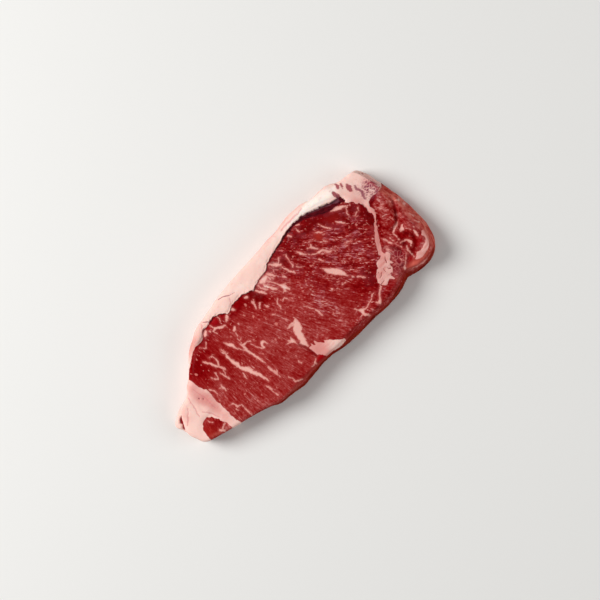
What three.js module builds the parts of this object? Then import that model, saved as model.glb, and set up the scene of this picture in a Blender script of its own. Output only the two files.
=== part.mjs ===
// Raw striploin steak, lying on its lower cut face.
//
// One solid: the eye muscle, the smaller end muscle, the fat cap along one long side and the
// fatty tail are grown together. +X runs along the steak towards the end muscle, +Y towards the
// fat cap, +Z up. The origin is under the middle of the steak, where it rests. Millimetres.
import * as THREE from "three";

// ---- Driving dimensions ----

const columns = 84; // cells along the upper face
const rows = 28; // cells across it
const seamRow = 22; // this line of the grid follows the fat cap's seam
const samplesPerSpan = 12; // points between two neighbours of an outline, before even spacing
const wallLevels = [0, 0.04, 0.11, 0.22, 0.38, 0.55, 0.72, 0.88]; // shares of the rim's height
const edgeSteps = [0, 0.16, 0.5, 1]; // rings over the rounded upper edge, as shares of its radius
const planCentre = [-0.39, -0.54]; // middle of the bounding box, in the plan's own coordinates

// Edge of the upper cut face, seen from above, anticlockwise from the tail's lower corner.
const rimSides = {
  lean: [
    [-106.8, -19.6], [-95, -24], [-80, -28.5], [-62, -33.8], [-50, -38.6], [-34, -39], [-10, -39.3],
    [8, -41.5], [22, -41.3], [45, -43.8], [57, -43.6], [65, -41.8], [74, -39.3], [84, -43.2],
    [93, -44.6],
  ],
  end: [[101, -42], [106.8, -33], [109, -18], [108.8, -2], [107.2, 11], [104.8, 25]],
  cap: [
    [102, 33], [96, 35.4], [85, 37.3], [77, 39.8], [60, 42.4], [45, 43.6], [28, 45], [8, 44.8],
    [-14, 44], [-28, 43], [-46, 40], [-53, 39.4], [-61, 35.6], [-70, 30.6], [-82, 20.3], [-88, 16.6],
    [-93, 12.2],
  ],
  tail: [[-103, 8.8], [-107.5, 1.5], [-111.3, -5], [-110, -13]],
};

// Where the fat cap meets the eye muscle, left to right.
const capSeam = [
  [-79, 24], [-70, 28.8], [-65, 30.5], [-56, 31.3], [-51.5, 35], [-45, 35.5], [-40, 36.4],
  [-35, 34], [-29.5, 30], [-24.5, 32.4], [-15, 32], [-7, 28], [-1, 30.3], [9, 31.3], [14, 34.2],
  [31, 37.7], [46, 40.2], [60, 38], [72, 33], [80, 29],
];

// Stations [x, value] along the length.
const thickness = [[-113, 15], [-98, 17.5], [-70, 19.5], [-30, 21], [30, 21.5], [75, 21], [98, 19.5],
  [112, 17]];
const leanFlare = [[-104, 0.3], [-70, 0.5], [-46, 2], [-30, 4.6], [-5, 3], [20, 5.6], [45, 4.3],
  [74, 5.6], [90, 4], [104, 3.2]];
const capBelly = [[-84, 0.6], [-66, 1.4], [-45, 1.1], [-20, 0.4], [12, 0.3], [30, 1], [48, 3.8],
  [58, 3.4], [68, 1.8], [83, 3], [90, 0.6], [106, 0.8]];

// How far each wall stands out, and between which shares of the height it changes.
const flareFades = { from: 0.12, to: 1 };
const bellyFrom = 0.12; // the belly's arc starts this far up
const endRoll = { out: 2.8, widestAt: 0.41, squareness: 0.9, endsFrom: 0.8 };
const tailFlap = { at: [-107.5, 2.5], reach: 6, out: 5.6, from: 0.42, to: 0.6 }; // ledge of the tail
const base = { tuck: 2.4, share: 0.22 }; // rounding of the lower edge
const edgeRadius = { lean: 2.2, cap: 3.2, end: 5.5 };
const middleLine = { y: -4, reach: 78 }; // the rounded edge leans in towards this line

const eyeCrown = { y: -4, halfWidth: 34, rise: 1.3 };
// The cap's step up from the eye muscle, and its fall outward, by the distance past the seam.
const capStep = { rise: 1.4, from: -0.6, to: 1.6 };
const capFall = { share: 0.6, from: 3, to: 12 };
const capGroove = { depth: 1.5, halfWidth: 1.2, besides: 1.5 };
const creases = [
  // between the end muscle's two lobes
  { from: [105, 2], to: [96, -17], depth: 1.6, halfWidth: 1.8 },
  // along the dark band's far end
  { from: [66, 33], to: [82, 27.5], depth: 1.1, halfWidth: 2.2 },
  // between the eye muscle and the end muscle
  { from: [88.5, 14], to: [85, -3], depth: 0.9, halfWidth: 1.6 },
  { from: [85, -3], to: [72, -19], depth: 0.7, halfWidth: 1.6 },
  // under the end lobe's membrane
  { from: [74, -40], to: [86, -37], depth: 1.4, halfWidth: 2.6 },
];
const tailMuscle = { at: [-95.5, -17.5], radii: [8.5, 9.5], rise: 0.8, groove: 0.7, grooveWidth: 1.5 };
// Slow swells of the cut face: lengths along x and y, height, phase, and how far the wave before
// bends this one.
const swells = [
  { lengths: [74, 130], height: 0.4, phase: 0.4, bend: 0.9 },
  { lengths: [-140, 52], height: 0.3, phase: 2.1, bend: 1.4 },
  { lengths: [43, -95], height: 0.2, phase: 4.4, bend: 1.8 },
  { lengths: [31, 26], height: 0.12, phase: 1.3, bend: 2.2 },
];
const edgeWobble = { height: 0.11, lengths: [13.7, 8.3, 5.9] };

// ---- Small helpers ----

const clamp01 = (t) => Math.min(1, Math.max(0, t));
const bump = (distance, halfWidth) => Math.exp(-((distance / halfWidth) ** 2));

function smoothstep(low, high, value) {
  const t = clamp01((value - low) / (high - low));
  return t * t * (3 - 2 * t);
}

// Smooth value at x from a list of [x, value] stations.
function atStation(stations, x) {
  let k = 0;
  while (k < stations.length - 2 && x > stations[k + 1][0]) k += 1;
  const [x0, v0] = stations[k];
  const [x1, v1] = stations[k + 1];
  return v0 + (v1 - v0) * smoothstep(x0, x1, x);
}

function splineThrough(points, closed) {
  const nodes = points.map(([x, y]) => new THREE.Vector3(x, y, 0));
  return new THREE.CatmullRomCurve3(nodes, closed, "catmullrom");
}

function distanceToSegment(x, y, [ax, ay], [bx, by]) {
  const t = clamp01(((x - ax) * (bx - ax) + (y - ay) * (by - ay)) / ((bx - ax) ** 2 + (by - ay) ** 2));
  return Math.hypot(x - ax - t * (bx - ax), y - ay - t * (by - ay));
}

// ---- The cut face's relief ----

const seamLine = splineThrough(capSeam, false).getPoints(capSeam.length * samplesPerSpan);
const seamStart = capSeam[0][0];
const seamEnd = capSeam[capSeam.length - 1][0];

// The seam's y at a given x.
function seamY(x) {
  const k = Math.max(1, seamLine.findIndex((p) => p.x >= x));
  const [a, b] = [seamLine[k - 1], seamLine[k]];
  return a.y + (b.y - a.y) * clamp01((x - a.x) / (b.x - a.x));
}

// 1 where the fat cap borders the eye muscle, fading out at both ends of the seam.
function seamPresence(x) {
  return smoothstep(seamStart, seamStart + 8, x) * (1 - smoothstep(seamEnd - 3, seamEnd + 3, x));
}

function swellHeight(x, y) {
  let before = 0;
  let sum = 0;
  for (const { lengths, height, phase, bend } of swells) {
    const wave = Math.sin(2 * Math.PI * (x / lengths[0] + y / lengths[1]) + phase + bend * before);
    sum += height * wave;
    before = wave;
  }
  return sum;
}

function upperFaceHeight(x, y) {
  let z = atStation(thickness, x) + swellHeight(x, y);
  z += eyeCrown.rise * bump(y - eyeCrown.y, eyeCrown.halfWidth);
  const past = y - seamY(x);
  const step = capStep.rise * smoothstep(capStep.from, capStep.to, past);
  const fall = 1 - capFall.share * smoothstep(capFall.from, capFall.to, past);
  z += seamPresence(x) * (step * fall - capGroove.depth * bump(past, capGroove.halfWidth));
  for (const crease of creases) {
    z -= crease.depth * bump(distanceToSegment(x, y, crease.from, crease.to), crease.halfWidth);
  }
  const [mx, my] = tailMuscle.at;
  const ringed = Math.hypot((x - mx) / tailMuscle.radii[0], (y - my) / tailMuscle.radii[1]);
  const outOfMuscle = (ringed - 1) * tailMuscle.radii[0];
  z += tailMuscle.rise * (1 - smoothstep(0.3, 1, ringed));
  z -= tailMuscle.groove * bump(outOfMuscle, tailMuscle.grooveWidth);
  return z;
}

// ---- The rim and the wall below it ----

// Points of one side of the closed curve, evenly spaced, without the next side's first point.
function sidePoints(curve, first, last, count) {
  const total = curve.points.length;
  const fine = [];
  const steps = (last - first) * samplesPerSpan;
  for (let k = 0; k <= steps; k += 1) {
    fine.push(curve.getPoint(((first + k / samplesPerSpan) / total) % 1));
  }
  const lengths = [0];
  for (let k = 1; k <= steps; k += 1) lengths.push(lengths[k - 1] + fine[k].distanceTo(fine[k - 1]));
  const points = [];
  let k = 0;
  for (let i = 0; i < count; i += 1) {
    const wanted = (lengths[steps] * i) / count;
    while (lengths[k + 1] < wanted) k += 1;
    const share = (wanted - lengths[k]) / (lengths[k + 1] - lengths[k]);
    points.push(fine[k].clone().lerp(fine[k + 1], share));
  }
  return points;
}

function rimPoints() {
  const sides = [rimSides.lean, rimSides.end, rimSides.cap, rimSides.tail];
  const curve = splineThrough(sides.flat(), true);
  let first = 0;
  return sides.flatMap((side, k) => {
    const points = sidePoints(curve, first, first + side.length, k % 2 === 0 ? columns : rows);
    first += side.length;
    return points;
  });
}

// Rim points with their outward directions and what lies at each of them.
function rimStations() {
  const points = rimPoints();
  const count = points.length;
  return points.map((p, i) => {
    const before = points[(i + count - 2) % count];
    const after = points[(i + 2) % count];
    const along = new THREE.Vector2(after.x - before.x, after.y - before.y).normalize();
    const out = new THREE.Vector2(along.y, -along.x);
    const wobble = edgeWobble.lengths.reduce(
      (sum, length, k) => sum + Math.sin((p.x - (k + 1) * p.y) / length + k),
      0,
    );
    const x = p.x + out.x * wobble * edgeWobble.height;
    const y = p.y + out.y * wobble * edgeWobble.height;
    const atEnd = smoothstep(0.45, 0.9, out.x);
    const onCap = smoothstep(-0.35, 0.5, out.y) * (1 - atEnd);
    const onLean = 1 - onCap - atEnd;
    const atFlap = bump(Math.hypot(x - tailFlap.at[0], y - tailFlap.at[1]), tailFlap.reach);
    const radius = edgeRadius.lean * onLean + edgeRadius.cap * onCap + edgeRadius.end * atEnd;
    return { x, y, out, atEnd, onCap, onLean, atFlap, radius };
  });
}

// How far the wall stands outside the rim at a share of the rim's height.
function wallOffset(rim, level) {
  const flare = atStation(leanFlare, rim.x) * (1 - smoothstep(flareFades.from, flareFades.to, level));
  const belly = atStation(capBelly, rim.x) * Math.sin(Math.PI * (bellyFrom + (1 - bellyFrom) * level));
  const fromWidest = (level - endRoll.widestAt) / (1 - endRoll.widestAt);
  const rolled = Math.sqrt(1 - endRoll.squareness * fromWidest ** 2);
  const roll = endRoll.out * rolled * (1 - smoothstep(endRoll.endsFrom, 1, level));
  const ledge = tailFlap.out * rim.atFlap * (1 - smoothstep(tailFlap.from, tailFlap.to, level));
  const low = Math.max(0, 1 - level / base.share);
  const tuck = base.tuck * (1 - Math.sqrt(1 - low ** 2));
  return flare * rim.onLean + belly * rim.onCap + roll * rim.atEnd + ledge - tuck;
}

// ---- The grid of the upper face ----

// Point of the patch between the four sides of a closed ring, s along the steak and t across it.
function patchPoint(ring, s, t) {
  const at = (place) => {
    const k = Math.floor(place);
    const [a, b] = [ring[k % ring.length], ring[(k + 1) % ring.length]];
    return [a[0] + (b[0] - a[0]) * (place - k), a[1] + (b[1] - a[1]) * (place - k)];
  };
  const lean = at(s * columns);
  const end = at(columns + t * rows);
  const cap = at(columns + rows + (1 - s) * columns);
  const tail = at(2 * columns + rows + (1 - t) * rows);
  const corners = [at(0), at(columns), at(columns + rows), at(2 * columns + rows)];
  return [0, 1].map((axis) => {
    const across = (1 - t) * lean[axis] + t * cap[axis];
    const along = (1 - s) * tail[axis] + s * end[axis];
    const low = (1 - s) * corners[0][axis] + s * corners[1][axis];
    const high = (1 - s) * corners[3][axis] + s * corners[2][axis];
    return across + along - (1 - t) * low - t * high;
  });
}

// Shares across the face for one column's lines: some of them run beside the seam.
function linesAcross(ring, s) {
  const even = Array.from({ length: rows + 1 }, (_, j) => j / rows);
  let [low, high] = [0.4, 1];
  for (let k = 0; k < 30; k += 1) {
    const middle = (low + high) / 2;
    const [x, y] = patchPoint(ring, s, middle);
    if (y < seamY(x)) low = middle;
    else high = middle;
  }
  const seam = low;
  const x = patchPoint(ring, s, seam)[0];
  const width = patchPoint(ring, s, 1)[1] - patchPoint(ring, s, 0)[1];
  const gap = Math.min(capGroove.besides / width, (1 - seam) / 3);
  const present = seamPresence(x);
  return even.map((share, j) => {
    const besides = j - seamRow;
    let placed = seam + besides * gap;
    if (besides < -1) placed = ((seam - gap) * j) / (seamRow - 1);
    if (besides > 1) placed = 1 - ((1 - seam - gap) * (rows - j)) / (rows - seamRow - 1);
    return share + (placed - share) * present;
  });
}

// ---- The solid ----

function steakGeometry() {
  const rims = rimStations();
  const count = rims.length;
  const vertices = [];
  const triangles = [];
  const addVertex = (x, y, z) => vertices.push(x, y, z) / 3 - 1;
  const addRing = (place) => {
    const first = vertices.length / 3;
    rims.forEach((rim) => addVertex(...place(rim)));
    return first;
  };
  const addCell = (a, b, c, d) => triangles.push(a, b, c, a, c, d);

  // Wall, from the flat base to the rim
  const rings = wallLevels.map((level) =>
    addRing((rim) => {
      const offset = wallOffset(rim, level);
      const rimHeight = upperFaceHeight(rim.x, rim.y) - rim.radius;
      return [rim.x + rim.out.x * offset, rim.y + rim.out.y * offset, level * rimHeight];
    }),
  );

  // Rounded upper edge
  const inset = (rim, distance) => {
    const middleX = Math.max(-middleLine.reach, Math.min(middleLine.reach, rim.x));
    const toMiddle = new THREE.Vector2(middleX - rim.x, middleLine.y - rim.y).normalize();
    const inward = toMiddle.sub(rim.out).normalize();
    return [rim.x + inward.x * distance, rim.y + inward.y * distance];
  };
  for (const share of edgeSteps) {
    rings.push(
      addRing((rim) => {
        const [x, y] = inset(rim, share * rim.radius);
        const drop = rim.radius * (1 - Math.sqrt(1 - (1 - share) ** 2));
        return [x, y, upperFaceHeight(x, y) - drop];
      }),
    );
  }
  for (let k = 1; k < rings.length; k += 1) {
    for (let i = 0; i < count; i += 1) {
      const j = (i + 1) % count;
      addCell(rings[k - 1] + i, rings[k - 1] + j, rings[k] + j, rings[k] + i);
    }
  }

  // Upper face: its outermost grid lines are the last ring
  const last = rings[rings.length - 1];
  const ring = rims.map((_, i) => vertices.slice((last + i) * 3, (last + i) * 3 + 2));
  const grid = [];
  for (let i = 0; i <= columns; i += 1) {
    const shares = linesAcross(ring, i / columns);
    grid.push(
      shares.map((t, j) => {
        if (j === 0) return last + i;
        if (j === rows) return last + columns + rows + (columns - i);
        if (i === columns) return last + columns + j;
        if (i === 0) return last + 2 * columns + rows + (rows - j);
        const [x, y] = patchPoint(ring, i / columns, t);
        return addVertex(x, y, upperFaceHeight(x, y));
      }),
    );
  }
  for (let i = 0; i < columns; i += 1) {
    for (let j = 0; j < rows; j += 1) {
      addCell(grid[i][j], grid[i + 1][j], grid[i + 1][j + 1], grid[i][j + 1]);
    }
  }

  // Flat base
  const loop = rims.map((_, i) => new THREE.Vector2(vertices[i * 3], vertices[i * 3 + 1]));
  for (const [a, b, c] of THREE.ShapeUtils.triangulateShape(loop, [])) triangles.push(a, c, b);

  const geometry = new THREE.BufferGeometry();
  geometry.setAttribute("position", new THREE.Float32BufferAttribute(vertices, 3));
  geometry.setIndex(triangles);
  geometry.computeVertexNormals();
  return geometry;
}

const rawMeat = new THREE.MeshStandardMaterial({ color: 0x9c2f31, roughness: 0.45, metalness: 0 });

const steak = new THREE.Mesh(steakGeometry(), rawMeat);
steak.name = "striploin_steak";
steak.position.set(-planCentre[0], -planCentre[1], 0);

const part = new THREE.Group();
part.add(steak);

export default part;
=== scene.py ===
import math
import random

import bmesh
import bpy
import numpy as np
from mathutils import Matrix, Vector, noise
from mathutils.bvhtree import BVHTree


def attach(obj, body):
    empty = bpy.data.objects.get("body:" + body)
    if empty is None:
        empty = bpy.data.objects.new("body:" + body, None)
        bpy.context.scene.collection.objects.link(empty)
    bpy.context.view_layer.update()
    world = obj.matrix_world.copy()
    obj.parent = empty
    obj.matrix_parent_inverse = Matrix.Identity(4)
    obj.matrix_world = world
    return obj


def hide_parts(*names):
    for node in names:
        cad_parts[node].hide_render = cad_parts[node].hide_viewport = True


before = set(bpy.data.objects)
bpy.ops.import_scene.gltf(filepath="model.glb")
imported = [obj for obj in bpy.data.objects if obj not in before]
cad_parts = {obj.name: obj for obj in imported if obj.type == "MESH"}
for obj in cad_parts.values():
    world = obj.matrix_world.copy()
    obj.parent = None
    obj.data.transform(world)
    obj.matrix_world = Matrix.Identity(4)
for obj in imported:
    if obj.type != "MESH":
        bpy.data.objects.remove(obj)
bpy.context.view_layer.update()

mm = 0.001

# Places on the steak are in mm, seen from above: x along it towards the end muscle, y towards
# the fat cap. They are counted from a point this far from the frame's origin.
planShift = (-0.39, -0.54)


# Layout of the cut face: outlines of fat, and veins as (x, y, width) points

fatAreas = {
    "cap": [
        (-86, 26), (-79, 23.2), (-75.5, 24.6), (-72, 27.2), (-69, 29), (-66, 30.3), (-63, 31.2),
        (-60.5, 30.7), (-59, 30.6), (-56, 31.2), (-54.5, 32.5),
        (-52.5, 34.5), (-51, 35.3), (-45, 35.3), (-43.5, 36.3), (-40, 36.4), (-36, 34.8), (-33, 32.5),
        (-31, 30.5), (-29, 30), (-24.5, 32.5), (-20, 32.4), (-15, 32), (-12, 30.8), (-9, 30), (-7, 28),
        (-5, 29.3), (-1, 30.4), (3, 31.2), (9, 31.3), (13, 34), (20, 35.7), (25, 37), (31, 37.7),
        (35, 38.8), (39, 40), (46, 40.3), (54, 39.2), (60, 36.9), (66, 34.5), (72, 31.6), (78, 28.8),
        (81, 29.4), (83.5, 26), (88, 36), (96, 60), (-60, 60),
    ],
    "corner": [
        (81.8, 24.4), (82.2, 22), (84.4, 21), (85.5, 20), (86.3, 16.5), (88, 16), (88.8, 13),
        (88.6, 9.5), (87.8, 8), (88.3, 6), (89, 4.5), (88.5, 3), (87, 0.5), (83, -2.8), (78, -8),
        (75, -12), (71, -18.5), (72, -21), (76.5, -15), (80.5, -9.5), (84.5, -4), (88, 0.3), (91, 3),
        (92, 6.5), (91, 9), (93.5, 12), (96.5, 13), (100, 12.2), (107, 12), (109, 13), (120, 14),
        (116, 44), (84, 60), (81, 30),
    ],
    "seamWedge": [
        (73.5, -17.5), (71.1, -20.3), (69.4, -20.5), (66.1, -20.9), (64.2, -22.3), (63.8, -24),
        (62.3, -25), (60.3, -26.1), (58.6, -27.8), (58, -29.4), (56, -31.4), (57.1, -35.3),
        (58.2, -36.5), (59.8, -37.1), (61.9, -35.9), (64, -35.3), (64.9, -36.5), (66.7, -38.6),
        (66.2, -36.5), (66.5, -34.4), (68.4, -34), (70, -32.8), (70.9, -30.7), (71.1, -29.4),
        (71.9, -28.4), (73.2, -29.6), (74, -30.9), (73.6, -27.8), (73, -26.5), (74.8, -25.7),
        (76.7, -24.2), (76.8, -22.3), (75.7, -20.9), (74.4, -21.3), (74, -19.5),
    ],
    "tail": [
        (-83, 18.3), (-82.5, 14), (-82, 10), (-81, 7), (-79.5, 5), (-80, 0), (-80.5, -3), (-81.2, -5),
        (-80.5, -9), (-80.7, -14), (-81.2, -19), (-80.8, -24), (-80, -28.5), (-80, -50), (-86.5, -50),
        (-87.2, -25.8), (-86.7, -23), (-87, -20), (-88.3, -18.5), (-89, -15), (-91, -11), (-93.5, -8),
        (-96, -8), (-99.5, -9.5), (-102, -12.5), (-103.3, -17), (-103.5, -20.5), (-104, -50),
        (-130, -40), (-130, 30), (-86, 26),
    ],
    "midWedge": [
        (-9.6, -27), (-7.8, -27.5), (-6.8, -25.8), (-6, -28.6), (-5, -29), (-3.7, -26), (-2.3, -29.5),
        (-1, -31.3), (0.5, -32.4), (1.5, -30.8), (4, -33.5), (6, -36.2), (9, -38.5), (12, -41),
        (12, -42.4), (8, -42.8), (4, -42.4), (2, -41.4), (-2, -40.6), (-5.5, -40), (-6.8, -37),
        (-8, -35.8), (-9.6, -35.4), (-9.4, -30),
    ],
    "endSkirt": [
        (86.2, -39.6), (88.6, -38), (90.5, -36.3), (91.2, -37.5), (94.5, -37.7), (98, -36.3),
        (101, -35), (101.9, -33.2), (101.8, -30.8), (103.4, -29), (105.9, -29.1), (105.7, -32),
        (104.9, -34.5), (103.6, -35.2), (101.8, -37.2), (99.5, -39.6), (95.5, -41.2), (91, -41.5),
        (88, -40.9),
    ],
}

marblingAreas = {
    "midStreak": [
        (-10.2, -7.4), (-8.5, -6.4), (-7, -7.2), (-5, -7.6), (-3, -7.2), (-1.5, -5.8), (-0.4, -6.6),
        (-1, -9), (-1.4, -11.5), (-2.6, -14), (-3.6, -15.6), (-4.9, -15.2), (-5.3, -17.5),
        (-6.5, -20.5), (-7.6, -23), (-8.6, -26.8), (-10, -25), (-11.2, -22.5), (-12.4, -20.4),
        (-10.6, -19.6), (-10, -15.5), (-9.2, -12.5), (-7.8, -10), (-6.2, -8.6),
    ],
    "barb": [
        (-16.5, -12), (-16.2, -14), (-19, -14.2), (-16, -15.3), (-14, -17.5), (-13.2, -20.8),
        (-12.7, -18), (-12.6, -12.2), (-14.5, -14),
    ],
}

tailSideVeins = [
    [(-67, 20, 1.2), (-66, 18, 1.3), (-64.3, 15, 1.6), (-63.5, 12, 1.8), (-61.7, 9.8, 1.2),
     (-60.8, 7, 1.6),
     (-60.2, 4.5, 0.8)],
    [(-62.3, 19, 0.5), (-60.2, 18, 0.9), (-59.5, 15.5, 0.9), (-60, 13, 1.2), (-61.3, 10.3, 0.8)],
    [(-71.7, 8.5, 0.6), (-70, 5, 0.8), (-68.8, 4.2, 1), (-67.5, 6.5, 0.8), (-66.9, 8.8, 0.8)],
    [(-64.8, 6.5, 0.6), (-64, 3, 1), (-63.3, 1, 1.4), (-63, -1.5, 0.7)],
    [(-62, 5.5, 0.7), (-62.7, 2.5, 0.7)],
    [(-70.3, 1, 0.6), (-70.8, -2.5, 1.6), (-71, -5.5, 0.8)],
    [(-73, -1, 0.6), (-71.3, -3, 0.8)],
    [(-53, 15, 0.9), (-53, 12, 1.2), (-52.9, 8, 1.8), (-52.8, 4, 2.4), (-52.2, 1.5, 3),
     (-52.4, -1, 2.4),
     (-51.4, -3.5, 3), (-50, -5.6, 3.8), (-49.3, -8, 3), (-48.8, -10, 3), (-47.8, -12.2, 3.4),
     (-46.9, -15, 2.4), (-46.3, -18, 1.8), (-45.9, -21, 1.4), (-45.6, -22.5, 0.6)],
    [(-52.5, 17, 0.8), (-51.5, 14, 0.9), (-51, 13, 0.7)],
    [(-53, 12.3, 0.9), (-50.5, 11.7, 0.6)],
    [(-51, -5, 1.2), (-49, -5, 0.6)],
    [(-49.5, -9, 1.2), (-47.3, -9, 0.6)],
    [(-48.5, -12, 1), (-46.5, -11, 0.5)],
    [(-53.8, -5.5, 0.9), (-54.6, -8, 0.8), (-55, -10.2, 0.5)],
    [(-49.3, -22.5, 0.8), (-48.8, -25, 1.2), (-48.5, -28, 1.2)],
    [(-49, -28, 0.5), (-48.9, -31, 0.7), (-48, -33.8, 1)],
    [(-47.3, 18.8, 0.7), (-46.5, 16, 1.5), (-45, 13.5, 2.6), (-44.8, 11, 1.2), (-43, 7, 0.7),
     (-41.5, 4.5, 1)],
    [(-40.5, 9.5, 1.2), (-40, 6, 1.8), (-40.5, 3, 2.2), (-40, 0, 2), (-39.3, -4, 1.7), (-38.6, -8, 1.4),
     (-38.3, -12, 0.6)],
    [(-39, 8, 1.8), (-37, 7.3, 0.9), (-35, 7, 1), (-34, 5.8, 0.9)],
    [(-35, 4.3, 0.9), (-34.7, 2, 0.7), (-33.5, -1, 0.9), (-32, -3.5, 1.1), (-31, -4.3, 1.8),
     (-30.3, -1.5, 1.8), (-29, -0.3, 2), (-27.5, -1.3, 1.4), (-26.8, -4, 0.8)],
    [(-39, 14, 0.7), (-38.8, 10, 0.7)],
    [(-38.5, 11.3, 0.5), (-36.3, 12.5, 0.5)],
    [(-36.4, 19.2, 2), (-34.6, 20.4, 2.2)],
    [(-37, 17.3, 0.7), (-37.4, 14.8, 0.5)],
    [(-47, 29.4, 1.3), (-44.5, 29.8, 1.8), (-41.2, 27.8, 2.1), (-38.3, 26.1, 1.1)],
    [(-47, 28.6, 0.8), (-45.8, 26.5, 0.6)],
    [(-45.3, 34, 0.8), (-44.9, 31.5, 0.9)],
    [(-53.6, 31.4, 1), (-52, 32.2, 2.6), (-50.2, 33.6, 1.4)],
    [(-48.6, 31, 1), (-48, 30.4, 0.8)],
    [(-37.8, 34.8, 0.9), (-37.4, 31.9, 1), (-38.6, 30.2, 0.5)],
    [(-35.5, 27.6, 1.4), (-33.4, 29, 2.4), (-31.8, 30.2, 1.6)],
    [(-28, 31, 1.2), (-26.5, 30, 2.2), (-25.7, 28.4, 0.8)],
    [(-61.4, 28.4, 0.6), (-59.1, 25.3, 0.8), (-57.8, 26.2, 0.8), (-56, 27.8, 0.4)],
    [(-30.8, 20.4, 0.9), (-30.9, 19.6, 0.9)],
    [(-38.5, -15.5, 1), (-38.7, -18, 1.4), (-38.3, -22, 1.4), (-38, -26.5, 0.6)],
    [(-36, -19.5, 0.8), (-36.2, -21.5, 0.9), (-37.8, -23, 1.2)],
    [(-34.3, -30.5, 0.8), (-33, -33.5, 0.9), (-33.3, -36, 1.4), (-31.5, -37.3, 1.2), (-29, -38.5, 0.9)],
    [(-77, -14, 0.6), (-75, -14.6, 0.9), (-73.7, -16, 0.9), (-73.3, -19, 1.3), (-70.7, -19.8, 0.9),
     (-70.2, -22.5, 0.6)],
    [(-75.2, -21, 0.7), (-75, -19, 0.8)],
    [(-70.9, -23.5, 0.9), (-71, -27, 1), (-71, -30.5, 1)],
    [(-78.3, 4, 0.7), (-76.7, 0.5, 0.9), (-76.5, -2.5, 0.6)],
]

middleVeins = [
    # beside the middle wedge
    [(-10.5, -7, 0.7), (-8, -6.7, 1), (-4, -7.5, 1.6), (-1, -6.5, 0.9), (-1.5, -5, 0.7)],
    [(-10, -5, 0.6), (-10, -7, 0.8)],
    [(-12.2, -35.5, 0.7), (-14, -37.5, 1), (-18, -37.8, 0.6)],
    [(-14, -37.5, 0.9), (-14.2, -39, 0.7)],
    [(-21.5, -28, 1), (-20.8, -30.5, 1)],
    # pale mass under the cap, and streaks that run down from it
    [(0.8, 28.6, 2.4), (3, 28, 3.8), (5.6, 28.4, 3)],
    [(-6, 27.6, 1), (-5.2, 25.6, 1.6), (-3.6, 23.4, 1.8), (-2.4, 20.6, 1)],
    [(-2.6, 28.8, 0.8), (-1.8, 25.8, 1), (-0.6, 23.2, 1.2), (0.4, 21.4, 0.6)],
    [(0.8, 26, 1), (1.7, 23.7, 1.6), (3.3, 19.5, 2), (5, 17, 1.2)],
    [(4.6, 26, 1.2), (5.8, 23.3, 0.8), (8.3, 18.7, 0.8)],
    [(7.8, 29.4, 1), (9.2, 27, 1.8), (10.8, 24.6, 1.2)],
    [(7.6, 26, 0.8), (8.8, 23.4, 0.9)],
    [(8.4, 17.6, 1.4), (9.2, 15.6, 3.2), (10.2, 13.6, 2.4), (10.9, 11, 1.4)],
    [(8.6, 14.4, 1.4), (8, 11.8, 1.8)],
    [(7.2, 12.6, 0.8), (6.2, 12.4, 0.6)],
    [(11, 15.4, 0.9), (12.6, 15.3, 0.7)],
    [(13.6, 14.6, 0.6), (14.8, 13.2, 0.5)],
    [(13.3, 32.8, 1.2), (15.4, 30.6, 1.8), (17.5, 28.3, 2.4), (19.2, 26.6, 1.4)],
    [(21.7, 31.2, 1), (20, 29.6, 1), (18.2, 28.2, 1.2)],
    [(18.3, 25.3, 0.9), (19.6, 21.2, 1.1), (20.6, 18.4, 1.3), (22, 15.8, 1.2)],
    [(26.3, 28.7, 1), (25, 23.7, 0.7), (24.8, 21.2, 0.9), (23.8, 19.5, 0.7)],
    [(25.8, 17.8, 0.9), (27.9, 14.9, 0.7)],
    [(14.2, 20.2, 1), (14.8, 19.2, 1.5), (15.4, 17.8, 0.6)],
    [(-13.3, 24.1, 1), (-13.3, 21.2, 1.5), (-15, 18.3, 1)],
    [(-11.8, 24.2, 0.5), (-13, 22, 0.7)],
    [(-10.2, 19.3, 1.1), (-13.1, 16.8, 0.8)],
    [(-14.4, 29.2, 1.6), (-13.4, 28.4, 2)],
    [(-9.4, 15.4, 1), (-8, 13.3, 1.5)],
    [(-10.2, 7.6, 1.1), (-8.3, 6.2, 0.9)],
    [(0.4, 12.2, 0.7), (-2.1, 9.9, 0.9), (-1.9, 7.8, 0.9), (-3.3, 5.8, 1)],
    [(2.1, 8.7, 0.9), (4.6, 9.1, 0.9), (5.4, 5.3, 0.8)],
    [(9, -4.5, 0.5), (11, -8, 0.7), (12.5, -11.5, 0.6), (13.3, -15.5, 1.1), (13.3, -19, 0.8)],
]

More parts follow.
